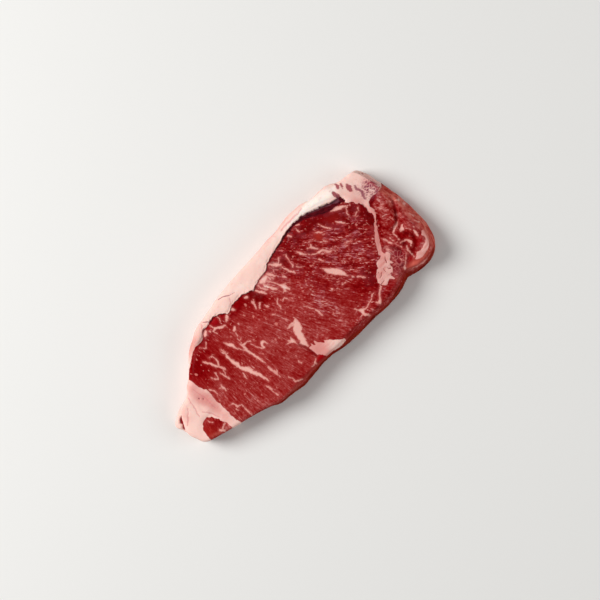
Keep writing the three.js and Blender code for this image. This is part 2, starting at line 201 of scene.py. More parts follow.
seamSideVeins = [
    # the long lozenge and what trails from it
    [(36.9, 3.8, 0.8), (39, -0.5, 3.6), (42.2, -5, 4.8), (44.6, -9.5, 3), (45.8, -13.4, 0.5)],
    [(47, -15, 0.8), (48, -16.2, 0.8)],
    [(49.7, -17.8, 1.1), (53, -22.3, 1)],
    [(38.5, -14, 0.8), (41, -14.8, 0.9)],
    [(31, -11, 1.6), (31.3, -11.2, 1.4)],
    [(33.2, 24.5, 0.8), (34.3, 22, 1.8), (36.5, 19, 1), (39, 15.5, 0.8), (42, 14, 0.8), (44, 13, 2),
     (46.8, 12.5, 1.4), (48, 9, 1.4), (50.3, 7.3, 1)],
    [(40.3, 20.8, 0.8), (42.5, 19.8, 1), (43.5, 17.5, 1), (45, 15.5, 1.2)],
    [(43.5, 21.3, 0.7), (42.8, 19.8, 0.7)],
    [(57.5, 27, 0.6), (58.7, 23.5, 1), (60, 20.5, 1.2), (61.2, 18.7, 0.9)],
    [(46.5, 37.8, 1.1), (48.5, 36.8, 1)],
    [(37.5, 36.8, 1.1), (38.8, 34.8, 1)],
    [(44.8, 36, 0.6), (45, 32.5, 0.6)],
    [(40, 10, 1.1), (41.3, 7, 1)],
    [(52, 16, 1.1), (52.7, 15, 1)],
    [(59.3, 3.7, 0.8), (61, 1.5, 0.8)],
    [(62, 4, 0.7), (66, 2.5, 0.7)],
    [(85.5, 15, 0.6), (83.5, 12.5, 0.9), (81.8, 13.2, 0.8), (80, 12.5, 0.7)],
    [(76.3, 14.6, 0.5), (76.5, 17.5, 0.7), (79, 20, 0.8), (81, 20.5, 0.6)],
    # pale sliver under the dark band
    [(70, 26.8, 1), (72, 26.2, 2.1), (74.6, 24.8, 2.8), (77, 23, 2.6), (79.6, 21.6, 1.4)],
    [(81.6, 23.8, 0.9), (83, 21.8, 1.1), (82.4, 20, 0.7)],
    [(51.5, 24.8, 0.5), (53.8, 22.6, 0.9), (55.6, 20.6, 0.7)],
    [(67.3, 18.8, 0.9), (69, 16.6, 1.5), (70.5, 14.3, 0.8)],
    # star and branch at the lean edge
    [(32, -32, 1), (33.3, -34.5, 1.4), (34.7, -36.5, 2.8), (33.5, -39, 2), (35.5, -42.5, 1.4)],
    [(34.7, -36, 1.6), (38.5, -37.5, 1), (43, -36, 0.7), (46.5, -35, 0.8), (48, -33.8, 0.8),
     (50, -34.3, 0.5)],
    [(33, -38.3, 0.8), (29, -39.3, 0.5)],
    [(47, -42, 2.2), (48.5, -40.5, 1.8), (50.5, -38, 1.2), (54, -35.8, 1.2), (57, -33.5, 1.6)],
    [(45.8, -40, 0.8), (46.5, -42.5, 0.9)],
    # beside the seam wedge
    [(77.6, -19.8, 0.7), (78.3, -21.6, 1.2), (78.8, -23, 0.6)],
    [(75.6, -24.6, 0.6), (76.6, -27.4, 0.5)],
]

endVeins = [
    # bright knot and what trails from it
    [(93.8, -18, 1.4), (95.6, -18, 3), (97.2, -16.2, 1)],
    [(97.2, -19.4, 0.6), (98.8, -21.5, 0.7), (98.4, -22.8, 0.6)],
    [(100.1, -24.6, 1), (99.9, -26.6, 1.9), (99.3, -29.8, 1.3)],
    [(88.2, -21.9, 0.7), (88.6, -16, 1), (90.4, -14.6, 1.8), (93.4, -13.2, 2), (96.5, -12.6, 1.2)],
    [(81, -13.4, 0.7), (81.8, -16.2, 1.1), (82.5, -18.8, 1.6), (83, -20.2, 0.7)],
    [(84.8, -16, 0.7), (85, -19, 0.8)],
    [(84, -21.5, 0.5), (85, -24.4, 0.6), (85.6, -26.4, 0.9)],
    [(87.3, -24, 0.7), (90.7, -24.8, 1.1), (92.6, -26.9, 1.5), (92.5, -29, 1.7), (91.1, -30.8, 1)],
    [(88.8, -28.6, 0.6), (87.2, -30.6, 1), (86.8, -33, 0.8), (87, -37.6, 0.7)],
    [(76, -38.6, 1.8), (78, -37, 1.1), (82, -34, 0.8), (84.6, -32, 0.7)],
    [(76, -38.4, 1.9), (77.2, -37.4, 1.4)],
    [(78.5, -31, 0.5), (79.6, -33.4, 0.7), (81, -35, 0.4)],
    [(105.6, -20.4, 0.8), (107, -23.4, 1.1)],
    [(101.6, -22.6, 0.8), (102.4, -23.6, 0.6)],
    [(95.2, 3, 1), (95.8, 2.2, 1)],
    [(98.8, 3.8, 0.7), (99.6, 3.2, 0.6)],
    [(91.6, -2, 0.6), (93.8, -3.2, 0.5)],
    # the rim's edge under the skirt
    [(79.5, -42.2, 0.6), (85.7, -44, 0.7), (91.5, -45, 0.8), (97.8, -44.8, 0.8), (102, -42.8, 0.9),
     (106, -39, 1)],
    [(107, -1, 1.2), (108.8, -3, 1.6)],
    [(108.8, -7.2, 1.6), (109.2, -8.6, 1.4)],
    [(106.8, -14, 0.8), (107.6, -18, 0.7)],
    [(104, 30, 0.8), (104, 29.8, 0.7)],
]

tailVeins = [
    [(-94, -21, 1.6), (-92, -23.5, 2)],
    [(-92, -21.5, 0.8), (-89, -20.5, 0.9), (-87.5, -19.8, 0.8)],
    [(-95.5, -10, 0.5), (-93.8, -13.5, 0.6)],
]

# Lean that shows inside the fat, as streaks in the seam wedge
leanIslands = [
    [(42.3, -5, 0.9), (42.8, -6.2, 1)],
    [(59.3, -30.4, 0.4), (61.5, -29.4, 0.7), (63.6, -28.5, 0.4)],
    [(56.7, -33.9, 0.6), (60.7, -33.2, 0.5)],
    [(65.2, -30.2, 0.4), (66.1, -27.2, 0.5)],
    [(66.4, -35, 0.5), (65.6, -32.6, 0.4)],
    [(70.4, -26.2, 0.6), (71.4, -24.2, 0.9), (72.6, -22.6, 0.6)],
    [(61.4, -27, 0.5), (62.2, -26.6, 0.5)],
    [(67.6, -33.6, 1.2), (67.3, -35, 0.7)],
    [(69.4, -31, 0.9), (68.2, -29.2, 0.5)],
]
# Red stains in the corner's fat
redStains = [
    [(86.3, 36.4, 1.8), (86, 34.4, 2.7)],
    [(89, 34.2, 1), (88.2, 32.8, 1.6), (87.4, 31.4, 0.9)],
    [(91.3, 30.4, 2.4), (90.9, 28.4, 3.8), (90.7, 26.6, 2.6)],
    [(80.7, 34.2, 2.2), (80.7, 32, 2.8), (81, 30, 2.8)],
    [(104.2, 30.1, 1), (104.3, 30, 0.9)],
    [(106, 28.7, 0.8), (106.1, 28.4, 0.7)],
    [(102.6, 20.8, 1.2), (104.6, 19.2, 1.8), (105.6, 16.6, 1.4)],
    [(103.4, 17.4, 1), (104.4, 14.8, 1.5)],
    [(101, 13.4, 1), (105.6, 13.2, 1.5)],
]
# Purple streaks and spots there
purpleStains = [
    [(94.5, 26.5, 1.2), (93.6, 24.4, 1.8), (94.7, 22.2, 1.4), (95.3, 20.3, 1.5), (93.8, 17.8, 2.2),
     (93.2, 15, 1.3)],
    [(99.6, 20.4, 1.4), (101, 19.6, 1)],
    [(102.4, 22.4, 1), (101.4, 22.8, 0.8)],
    [(101.6, 13.2, 1.2), (103.2, 12.8, 1)],
]
# White specks, there and on the lean's palest marbling
whiteSpecks = [
    [(99.8, 17.4, 1.2), (100.2, 15.8, 1.6)],
    [(101, 14.9, 1), (101.6, 13.8, 0.7)],
    [(97.6, 23.6, 1), (98.4, 25.4, 0.8)],
    [(0.5, 24.8, 0.9), (1.6, 22.4, 0.8)],
    [(9.2, 14.6, 1.2), (9.8, 13, 0.9)],
    [(3.4, 28.8, 1.6), (5, 28, 1.2)],
    [(34.2, 22.6, 0.8), (34.6, 21.4, 0.6)],
    [(69, 17.2, 0.7), (69.8, 16, 0.6)],
]

# Dark lines: the seam under the cap, where the dark band is partly dark tissue and partly painted shade in
# the gap under the cap's edge, cracks in the fat, and creases in the lean, whose darkness is painted shade
capSeamLine = [
    (-31, 30.6, 0.4), (-29, 30.1, 0.6), (-24.5, 32.4, 0.7), (-20, 32.3, 0.7), (-15, 31.9, 0.6),
    (-12, 30.7, 0.6),
    (-9, 29.9, 0.4), (-7, 28, 0.7), (-5, 29.2, 0.4), (-1, 30.3, 0.4), (3, 31.1, 0.4), (9, 31.1, 0.4),
    (13, 33.8, 0.6), (20, 35.4, 0.7), (25, 36.6, 0.8), (31, 37.3, 1), (35, 38.1, 1.3), (39, 38.9, 1.7),
    (46, 39.1, 1.9), (50, 38.5, 2.2), (54, 37.5, 2.8), (60, 34.9, 3.8), (65, 32.5, 4.8), (70, 30.1, 5),
    (75, 28.6, 3.8), (78.5, 27.3, 3.6), (80.8, 27.6, 3.6), (81.2, 26.4, 3), (81.8, 24.8, 1.4),
]
leftSeamLine = [
    (-45, 35.2, 0.3), (-40, 36.3, 0.5), (-36, 34.7, 0.7), (-33, 32.4, 0.7), (-31, 30.6, 0.5),
]
# painted sheen: the greyer upper half of the dark band
bandSheen = [
    (50, 39.4, 0.3), (56.7, 37.9, 0.6), (63.3, 35.2, 0.9), (70, 32.3, 1), (76, 29.4, 1),
    (79.5, 28.2, 1.4), (81, 31.4, 1.2),
]
fatCracks = [
    [(-28.4, 42.1, 0.4), (-24.9, 41.1, 0.5), (-22.8, 39.8, 0.6), (-21, 38.4, 0.6)],
    [(-21, 38.4, 0.3), (-17, 37, 0.2)],
    [(-47.8, 39.8, 0.3), (-45.4, 37.4, 0.6), (-44.5, 36.5, 0.5)],
]
fatFolds = [
    [(-55.3, 31.9, 0.5), (-53.3, 34, 0.5), (-49.9, 37.3, 0.4), (-48.7, 38.6, 0.2)],
    [(-21.6, 37.3, 0.2), (-24.1, 34, 0.3), (-26.5, 31.6, 0.2)],
    [(37, 42.8, 0.5), (45, 43, 0.7), (53, 42.3, 0.6), (58, 43, 0.4)],
    [(-93, -3, 0.4), (-92, -5, 0.5), (-89.5, -9, 0.5), (-87.5, -15, 0.3)],
    [(-107.5, -2, 0.3), (-103, 1.5, 0.5), (-98.5, 6, 0.3)],
    [(-97, -4, 0.3), (-95, 3, 0.5), (-93, 10, 0.4)],
    [(-86, 12, 0.3), (-84.5, 2, 0.5), (-85, -8, 0.3)],
]
# creases in the lean, darkened with painted shade
creases = [
    [(105, -0.7, 0.5), (102.5, -4.5, 0.9), (101.7, -6.5, 1), (99, -9.5, 0.9), (95.8, -12.2, 0.9),
     (92.5, -13.2, 0.7), (89.5, -13.8, 0.4)],
    [(106.5, 3, 0.3), (106.6, 0.4, 0.6), (105, -0.7, 0.5)],
    [(-12.5, -20.8, 0.3), (-10.8, -25.5, 0.5), (-10.2, -30, 0.5), (-10.3, -35, 0.3)],
    [(88.8, 13.5, 0.3), (87.4, 7, 0.6), (87.2, 2, 0.4)],
    [(94.3, -20.5, 0.4), (96.2, -24, 0.8), (97.2, -28, 0.5)],
    [(80.5, -21.5, 0.3), (84, -26.5, 0.6), (83, -29, 0.3)],
    [(88.5, -26, 0.3), (89.5, -28, 0.5)],
]
flapGap = [
    (-103, 7), (-105.5, 6.2), (-108.5, 4.7), (-109.7, 2.8), (-109.4, 1), (-111.4, -1.4), (-111.6, -3.2),
    (-110, -2.2), (-106.5, 1.8), (-104.4, 4.8),
]
tailHoles = [[(-88, 4.8, 0.8), (-88, 4.6, 0.8)], [(-86, 2.4, 0.7), (-86, 2.3, 0.7)]]

# Small flecks that stand out, as (x, y, width)
fleckSpots = [
    (-77, 17.5, 1.5), (-13.3, 1, 2), (-6.8, -2, 1.1), (-21, -6, 1.2), (-18.8, -7, 1), (-61, -26, 0.9),
    (-56, -25.5, 0.8), (-64, -16.5, 1), (-58, -11.7, 0.9), (-52, -17.5, 0.8), (-44, -18.5, 0.9),
    (-44.5, -3, 0.8), (-60, -30.3, 0.9), (-31.5, 5, 1), (-24, 21, 0.9), (-19.8, 16, 1.3),
    (-20, -24.5, 1), (22.5, -25.7, 1.6), (19.5, -23.3, 1.2), (-8.5, 14.2, 1.4), (30.5, -11.2, 1.3),
    (-79, -6.5, 1.1), (-69, 24.5, 0.9), (-29, 9.5, 0.8), (-26.5, -19, 0.8), (-3, 2, 0.8), (4, -3, 0.8),
    (16, 3, 0.8), (-71.5, -33.3, 1), (-17.9, 25.8, 1.5), (7.5, 5.3, 1.2), (22.9, 6.6, 1),
    (33.1, 10.8, 1.3), (17.3, 5.3, 0.9), (-0.8, 16.2, 0.8), (-3.3, 16.6, 0.6), (1.5, 10.3, 0.8),
    (-15.4, 8.3, 0.8), (-5.6, 7.4, 0.7), (33.8, 23.4, 0.9), (75.5, 7.3, 1.3), (-69.7, 19.8, 1.1),
    (-69.1, 13.2, 0.8), (-40.8, 18.2, 0.9), (-24.1, 21.3, 1.2), (-20.5, 15.8, 1), (-51.2, 15.7, 0.8),
    (-28.3, 14, 0.8), (-48.3, 30.7, 0.9), (12.6, 27.6, 0.9), (29, 24.6, 0.9), (84.6, 18.4, 0.7),
]

# Soft areas as (x, y, half length, half width, turn in degrees, strength)
softAreas = {
    "deepRed": [
        (-60, 28, 20, 4, 22, 0.4), (-42, 32.5, 7, 4, 0, 0.7), (-22, 29, 9, 3, 0, 0.5),
        (-8, 22, 7, 8, 0, 0.65), (-75, 18, 6, 10, 0, 0.45), (-62, 14, 12, 14, 0, 0.35),
        (26, 30, 14, 7, 10, 0.4), (44, 31, 16, 7, 0, 0.2), (66, 26, 14, 6, -30, 0.9),
        (80, 20, 6, 6, 0, 0.6), (86.4, 7, 3.6, 9, 0, 1.1), (72, 4, 16, 12, 0, 0.35),
        (60, -22, 13, 8, -40, 0.4), (48, -27, 16, 8, 0, 0.3), (25, -34, 18, 5, 0, 0.2),
        (30, 6, 14, 12, -45, 0.2), (-5, -37.5, 6, 2, 0, 0.4), (-10, 29, 3.4, 1.6, -25, 0.6),
        (-7, 22, 4.5, 3, -35, 0.5), (-30, -34, 20, 4, 0, 0.1), (-97, -15, 5, 6, 0, 0.4),
        (61, 26.5, 3.5, 3, 0, 0.8), (96, -22, 7, 5, 0, 0.25), (88, -25, 6, 5, 0, 0.5),
        (94, -31, 9, 4, 10, 0.45), (90, -10, 7, 4, 35, 0.2), (84, -36, 6, 2.6, 20, 0.4),
        (102, -4, 2, 6, 25, 0.7), (-88, -13, 2, 6, -20, 0.3), (84, -8.5, 7, 1.8, 50, 0.5),
        (92, -22, 4, 2, -60, 0.4), (-23, 29, 2.6, 2, 0, 0.7), (80, -27, 4, 5, 0, 0.5),
        (52, 30, 10, 7, -20, 0.15), (-20, 26, 9, 4, 0, 0.15), (14, 30, 8, 4, 20, 0.4),
        (66, 24, 8, 6, -30, 0.5), (50, -27, 10, 6, -30, 0.2), (95.5, 11, 4.5, 1.3, 18, 1.2),
        (96, -22, 2.4, 2.4, 45, 0.2), (91.5, -32, 4, 2, 35, 0.7),
    ],
    "palePink": [
        (20, -17, 9, 7, -40, 0.25), (15, -2, 10, 10, -45, 0.25), (26, -35, 7, 3, 0, 0.2),
        (70, 0, 7, 5, -45, 0.35), (91, -8, 5, 4, 0, 0.45), (62, -6, 12, 7, -45, 0.2),
        (58, 6, 18, 10, -45, 0.15), (-66, -30, 18, 3, -16, 0.3), (-12, -2, 20, 10, 0, 0.12),
        (98, 3, 6, 5.5, 0, 0.65), (101, 10.8, 1.7, 1.2, 0, 1.1), (104, -12, 4, 8, 0, 0.15),
        (104, -24, 3, 8, 0, 0.1), (96, 3.5, 2, 1.6, 0, 0.6), (85, -31, 5, 3, 0, 0.2),
        (4, 24, 7, 7, 0, 0.45), (74, 17, 4, 4, -45, 0.3), (48, 24, 4, 3, 0, 0.5),
        (24, -33, 10, 6, 0, 0.55), (108.4, -3, 1.8, 7, 0, 1.1), (91, -17.5, 3, 2, 0, 0.3),
        (-90.5, -23, 6, 1.6, -14, 0.5),
    ],
    "vivid": [
        (-25, -38.3, 16, 1.2, -3, 0.5), (-8.8, -37.8, 3, 1.4, -20, 0.8),
        (-41.4, 33.2, 3.2, 2.6, 0, 1.1), (-47.4, 32.8, 2, 2.2, 0, 1), (-23.3, 29.2, 2.4, 1.8, 0, 0.4),
        (-34.6, 31.6, 1.4, 1.6, 0, 0.7), (-8.5, -38, 3.2, 1.3, 0, 1), (97, -33.4, 5.5, 1.6, 24, 1),
        (82.5, -36.8, 3.5, 1.6, 20, 1), (62, 27, 4, 2.4, -30, 0.2), (66, 20, 3, 3, 0, 0.3),
        (87, 12, 2, 4, 0, 0.5), (-20, 29.5, 8, 1.5, 5, 0.3), (107.5, 4, 1, 5, 0, 0.5),
        (20, 31, 8, 2, 10, 0.3), (105.6, 8, 3.6, 2, -40, 1), (83.9, -36.6, 1.8, 1.4, 0, 0.9),
        (63.5, -40.3, 3, 1.2, 35, 0.8), (58.4, -38.6, 2.4, 1.6, 0, 0.5), (81.5, 24, 2.4, 1.4, 0, 0.4),
    ],
    "orangeRed": [
        (51.3, 20.8, 2.2, 3.2, 30, 1), (54, 22.6, 4, 1.2, -42, 0.7), (68, 22, 6, 4, 0, 0.2),
        (-100, -17, 3.5, 4, -40, 0.5),
    ],
    "salmon": [
        (-96, -21.8, 7, 1.2, -25, 0.5), (-68, -34.2, 13, 1.7, -17, 0.35),
        (-30, -39.4, 16, 1.2, -3, 0.25), (83, -40.6, 4.6, 2, -14, 1), (68, -39.8, 2.6, 1.2, 0, 0.5),
        (109, -24, 1.6, 12, 0, 0.3), (94, -42.4, 8, 1.4, 0, 0.8),
    ],
    "streaky": [
        (66, -29, 10, 5, 42, 1), (97, -39.6, 7, 3, 12, 1), (2, -37, 9, 3, -35, 0.5),
        (-84, -4, 4, 16, 0, 0.3),
    ],
    # painted shade below the dark band, where the cap's edge shades the lean, and a small dark spot in the
    # end muscle
    "shade": [(65.5, 30.8, 7, 1.8, -24, 1), (72, 28.6, 5, 1.5, -16, 1), (76.6, -35.6, 2.4, 0.9, 15, 0.9)],
    "lumps": [(79.5, -27.5, 4.6, 6, -15, 1), (73.5, -33, 4, 3, 0, 0.8), (80, -33, 4, 3, 20, 0.5)],
    "rough": [
        (56, 6, 30, 22, -45, 1), (76, 14, 12, 12, 0, 0.6), (20, -12, 8, 12, 0, 0.45),
        (60, -20, 14, 8, -30, 0.4), (20, 24, 16, 10, 0, 0.6), (52, -38, 26, 5, 0, 0.5),
        (44, 30, 20, 8, 0, 0.5), (-40, 31, 14, 5, 0, 0.5),
    ],
    "mixedFat": [
        (76, -22.5, 4, 3.4, -50, 0.5), (3.2, 27, 6.5, 3.6, 0, 0.9), (96.5, -36.4, 6, 2, 16, 0.3),
        (69.5, -35.6, 4, 2.6, 0, 0.4), (-52, 32, 3, 2, 0, 0.4), (16, 29.5, 4, 3.4, 0, 0.4),
        (105, -22, 3, 9, 0, 0.3),
    ],
    "purple": [(101.4, 17.4, 5.6, 5.4, 0, 1.2), (95, 20, 3, 7, 15, 0.2)],
    # whiter fat; at (101, 31) it is painted light that makes up for the shade on the corner's downward
    # slope
    "whiteFatAndPaintedLight": [
        (68, 38.5, 18, 4, -14, 0.9), (45, 41.5, 20, 2, 0, 0.35), (20, 40, 30, 3.5, 5, 0.2),
        (-20, 39, 16, 4, 0, 0.15), (-102, -10, 5, 9, 0, 0.25), (6, -39.5, 5, 4, -30, 0.9),
        (101, 31, 6, 5, 0, 0.5), (-98, 4, 8, 8, 0, 0.2),
    ],
    # painted shade where the fat's edge curves down
    "paintedShadeFat": [(-66, 33.4, 9, 2.2, 20, 0.25), (105, 31, 3, 3, 0, 0.2)],
    "pinkFat": [
        (-56, 36, 18, 5, 15, 0.4), (45, 45.5, 30, 2.2, 0, 0.8), (-100, 8, 5, 2, 30, 0.4),
        (-87, 3, 6, 6, 0, 0.9), (-84, -12, 4, 12, 0, 0.5), (-104, 1, 4, 5, 0, 0.3),
        (90, 4, 5, 6, 0, 0.1), (88, 17, 3.6, 9, 0, 0.5), (-75, 27, 8, 3, 25, 0.3),
        (-5, -34, 4.5, 6, 0, 0.5), (82, -7, 13, 3.4, 50, 1.6), (-85, 14, 5, 5, 0, 0.5),
        (104, 24, 5, 6, 0, 0.5), (-66, 33.6, 8, 3, 20, 0.6),
    ],
}
fatTones = {
    "cap": 0.5, "corner": 0.36, "seamWedge": 0.22, "tail": 0.42, "midWedge": 0.16, "endSkirt": 0.14,
}
endMuscle = [(71, -60), (71, -20), (76, -14), (88, 1), (92, 7), (93, 12), (130, 12), (130, -60)]

print("steak: layout read")


# Distances in mm to a vein or an outline, negative inside it

farAway = 9.0
veinMargin = 3.0  # points farther than this from a vein's box aren't measured to it


def distanceToVein(vein, x, y):
    nearest = np.full(x.shape, np.inf)
    for (ax, ay, aw), (bx, by, bw) in zip(vein, vein[1:]):
        dx, dy = bx - ax, by - ay
        share = np.clip(((x - ax) * dx + (y - ay) * dy) / (dx * dx + dy * dy), 0, 1)
        reach = np.hypot(x - ax - share * dx, y - ay - share * dy)
        nearest = np.minimum(nearest, reach - (aw + (bw - aw) * share) / 2)
    return nearest


def distanceToArea(corners, x, y):
    nearest = np.full(x.shape, np.inf)
    inside = np.zeros(x.shape, bool)
    for (ax, ay), (bx, by) in zip(corners, corners[1:] + corners[:1]):
        dx, dy = bx - ax, by - ay
        share = np.clip(((x - ax) * dx + (y - ay) * dy) / (dx * dx + dy * dy), 0, 1)
        nearest = np.minimum(nearest, np.hypot(x - ax - share * dx, y - ay - share * dy))
        if ay != by:
            inside ^= ((ay > y) != (by > y)) & (x < dx * (y - ay) / dy + ax)
    return np.where(inside, -nearest, nearest)


def distanceToVeins(veins, x, y):
    field = np.full(x.shape, farAway)
    for vein in veins:
        pointsX, pointsY, _ = zip(*vein)
        near = (x > min(pointsX) - veinMargin) & (x < max(pointsX) + veinMargin)
        near = np.nonzero(near & (y > min(pointsY) - veinMargin) & (y < max(pointsY) + veinMargin))[0]
        field[near] = np.minimum(field[near], distanceToVein(vein, x[near], y[near]))
    return field


def softShare(name, x, y):
    total = np.zeros(x.shape)
    for cx, cy, halfLength, halfWidth, turn, strength in softAreas[name]:
        c, s = math.cos(math.radians(turn)), math.sin(math.radians(turn))
        along = ((x - cx) * c + (y - cy) * s) / halfLength
        across = (-(x - cx) * s + (y - cy) * c) / halfWidth
        total += strength * np.exp(-0.8 * (along ** 2 + across ** 2))
    return np.clip(total, 0, 1.1)


def fade(low, high, value):
    t = np.clip((value - low) / (high - low), 0, 1)
    return t * t * (3 - 2 * t)


def noiseOver(x, y, z, size, offset=0.0):
    points = zip((x / size + offset).tolist(), (y / size - offset).tolist(), (z / size).tolist())
    return np.array([noise.noise(Vector(p)) for p in points])


# The steak's mesh: the solid's own shape, remade in even cells, with the cut face finer

steakMesh = {
    "cell": 1.12 * mm,
    "weldWithin": 0.001 * mm,
    "upperFaceFrom": 0.25,  # faces whose normal points up more than this are made finer
    "smoothing": 3,
    "upperEdgeFrom": 0.2,  # the same, for the upper edge
    "edgeFrom": (-60, 14),  # left of this x and beyond this y that edge is rounded further
    "edgeSmoothing": 10,
}


def smooth(shape, verts, times):
    for _ in range(times):
        bmesh.ops.smooth_vert(
            shape, verts=verts, factor=0.5, use_axis_x=True, use_axis_y=True, use_axis_z=True,
        )


def makeSteak():
    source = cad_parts["striploin_steak"]
    shell = bmesh.new()
    shell.from_mesh(source.data)
    bmesh.ops.remove_doubles(shell, verts=shell.verts, dist=steakMesh["weldWithin"])
    mesh = bpy.data.meshes.new("steak")
    shell.to_mesh(mesh)
    surface = BVHTree.FromBMesh(shell)
    shell.free()
    steak = bpy.data.objects.new("steak", mesh)
    bpy.context.scene.collection.objects.link(steak)

    remesh = steak.modifiers.new("evenCells", "REMESH")
    remesh.mode = "VOXEL"
    remesh.voxel_size = steakMesh["cell"]
    evaluated = steak.evaluated_get(bpy.context.evaluated_depsgraph_get())
    remade = bpy.data.meshes.new_from_object(evaluated)
    steak.modifiers.clear()
    steak.data = remade
    bpy.data.meshes.remove(mesh)

    fine = bmesh.new()
    fine.from_mesh(remade)
    smooth(fine, fine.verts, steakMesh["smoothing"])
    for vert in fine.verts:
        vert.co = surface.find_nearest(vert.co)[0]
    smooth(fine, fine.verts, 1)
    fine.normal_update()
    edgeX, edgeY = steakMesh["edgeFrom"]
    leftEdge = [
        v for v in fine.verts
        if v.co.x < edgeX * mm and v.co.y > edgeY * mm and v.normal.z > steakMesh["upperEdgeFrom"]
    ]
    smooth(fine, leftEdge, steakMesh["edgeSmoothing"])
    fine.normal_update()
    least = steakMesh["upperFaceFrom"]
    upper = [e for e in fine.edges if all(f.normal.z > least for f in e.link_faces)]
    bmesh.ops.subdivide_edges(fine, edges=upper, cuts=1, use_grid_fill=True)
    fine.normal_update()
    smooth(fine, [v for v in fine.verts if all(f.normal.z > 0 for f in v.link_faces)], 1)
    bmesh.ops.triangulate(fine, faces=[f for f in fine.faces if len(f.verts) > 4])
    fine.to_mesh(remade)
    fine.free()
    remade.shade_smooth()
    remade.materials.clear()
    return steak


# Marbling too fine to place one by one: short flecks that lie along the grain

grainCentre = (-61.8, 131.9)  # the fibres fan out from here
grainRadius = 150  # an angle of the fan is turned into mm at this distance
flecks = {
    "seed": 11,
    "turn": 0.3,  # how far a fleck strays from the grain, in radians
    "shortness": 1.8,  # above 1, short flecks are the more common
    "shortest": 0.3,
    "ends": (0.5, 0.3),  # widths of both ends, as shares of the middle's
    "areas": [
        # x from, x to, y from, y to, how many, longest
        (-79, -30, -34, 32, 170, 2.2),
        (-30, 8, -38, 30, 130, 2.0),
        (8, 36, -5, 34, 90, 2.4),
        (8, 36, -40, -5, 36, 2.0),
        (36, 86, -12, 36, 230, 3.0),
        (36, 86, -38, -12, 70, 2.4),
        (78, 108, -40, 10, 90, 2.4),
    ],
    "width": (0.3, 0.8),
}


def makeFlecks(seed):
    rng = random.Random(seed)
    made = []
    for lowX, highX, lowY, highY, count, longest in flecks["areas"]:
        for _ in range(count):
            x, y = rng.uniform(lowX, highX), rng.uniform(lowY, highY)
            heading = math.atan2(y - grainCentre[1], x - grainCentre[0]) + rng.gauss(0, flecks["turn"])
            length = longest * rng.random() ** flecks["shortness"] + flecks["shortest"]
            width = rng.uniform(*flecks["width"]) * (0.75 + 0.12 * length)
            dx, dy = length * math.cos(heading) / 2, length * math.sin(heading) / 2
            first, last = (width * share for share in flecks["ends"])
            made.append([(x - dx, y - dy, first), (x, y, width), (x + dx, y + dy, last)])
    return made + [[(x, y - 0.4, width), (x, y + 0.4, width * 0.8)] for x, y, width in fleckSpots]


def turnedOver(veins, about):
    # veins as the underside shows them, mirrored about a line across the steak
    return [[(2 * about - px, py, pw) for px, py, pw in vein] for vein in veins]


# What lies where, for each point of the mesh

relief = {
    "fatRise": 0.22,
    "marblingRise": 0.08,
    # dents as (depth, width)
    "seamLeft": (0.12, 0.7),
    "seamRight": (0.6, 0.7),
    "crack": (0.4, 0.45),
    "crease": (0.7, 0.8),
    "hole": (0.5, 0.4),
    "fold": (0.18, 0.9),
    "seamDeepens": (38, 56),  # x from which the right seam's dent takes over, and where it has
    "fibres": (0.04, 0.24),  # on the smoothest and the roughest lean
    "endLumps": 0.35,
    "fatLumps": 0.14,
    "walls": 0.4,
    "underside": 0.06,
    "highest": 23.7,
}
# In what follows, a pair is where a thing starts and where it is full, in mm or as part of a
# point's normal.
# Which points count as the cut face, by the z of their normals, to which height adds a lift
cutFace = {
    "normal": (0.35, 0.75),
    "lift": 0.55,
    "liftHeight": (9.5, 15),
    "liftWaves": (4, 11),  # how far that height wanders, and the waves' size
    "underside": (0.3, 0.85),
}
# How the layout strays from its plan, and what becomes of it on the walls and the underside
straying = {
    "drift": 9,  # how far it strays by the underside
    "driftBelow": 17,
    "driftSize": 30,
    "long": (0.55, 2.7),  # how far outlines wander in long waves, and their size
    "short": (0.4, 1.1),
    "mirrorAt": 2,  # the underside's veins are mirrored about this x
    "undersideBelow": 9,
    "wallThinning": 0.9,  # mm that veins and flecks lose on the walls
    "redThinning": 0.8,  # and flecks in the deepest red
}
# The side under the cap is fat where it faces that way, lies low enough and isn't too far right
capSide = {"facing": (0.2, 0.8), "height": (16.5, 12.5), "x": (98, 90)}
# Height added across the cap's seam, by the distance into the fat: a low sharp edge, not a slope
seamFill = {
    "heights": [(-3.5, 0), (-1.4, 0.4), (0, 0.8), (0.5, 0.9), (1.4, -0.35), (3, -0.6), (8, 0)],
    "fromX": (-60, -50),
    "toX": (54, 40),
}
# The fat's edge along the dark band, and the fat corner's right side, are raised to a height, but
# by no more than "most"
bandEdge = {
    "top": 22.3, "most": 2.2, "into": (0, 0.5), "until": (4.5, 2.5), "fromX": (40, 54), "toX": (81, 78),
}
cornerSide = {"top": 19.6, "most": 3, "fromX": (95, 98), "fromY": (9, 13), "height": (9, 13)}
# The folded tip at the tail, and the gap it leaves open
flap = {
    "tip": (-113, 2),
    "size": (3.4, 3.6),
    "reach": 1.9,
    "height": (0.5, 4),
    "gapFrom": (6.6, 5.6),
    "gapTo": (11.5, 14),
    "gapDepth": 1,
    "lip": (0.5, 0.9, 0.7),  # how high, how far from the gap and how wide
}
# Thin skin over the rounded end, and a little of it on the lean side
skinSpread = {
    "facing": (0.3, 0.7), "fromX": (97, 105), "belowY": (14, 10),
    "leanFacing": (0.3, 0.8), "leanShare": 0.04,
}
# Coarse and fine waves of the relief in mm, and the fine ones' share
waves = {"bundle": (2.0, 0.9, 0.6), "lump": (4.2, 1.6, 0.4)}
layerWaves = {"size": 2.2, "alongWall": 0.25, "offset": -0.5}
grainPull = 0.3  # below 1, the bundles are drawn out along the grain
# Distances over which each of these goes from nothing to full
softEdges = {
    "lean": (-0.3, 0.3), "fat": (0.5, -1.1), "marbling": (0.4, -0.5), "gap": (0.4, -0.8),
    "endMuscle": (1, -3), "bareSkin": (-0.4, 0.4),
}


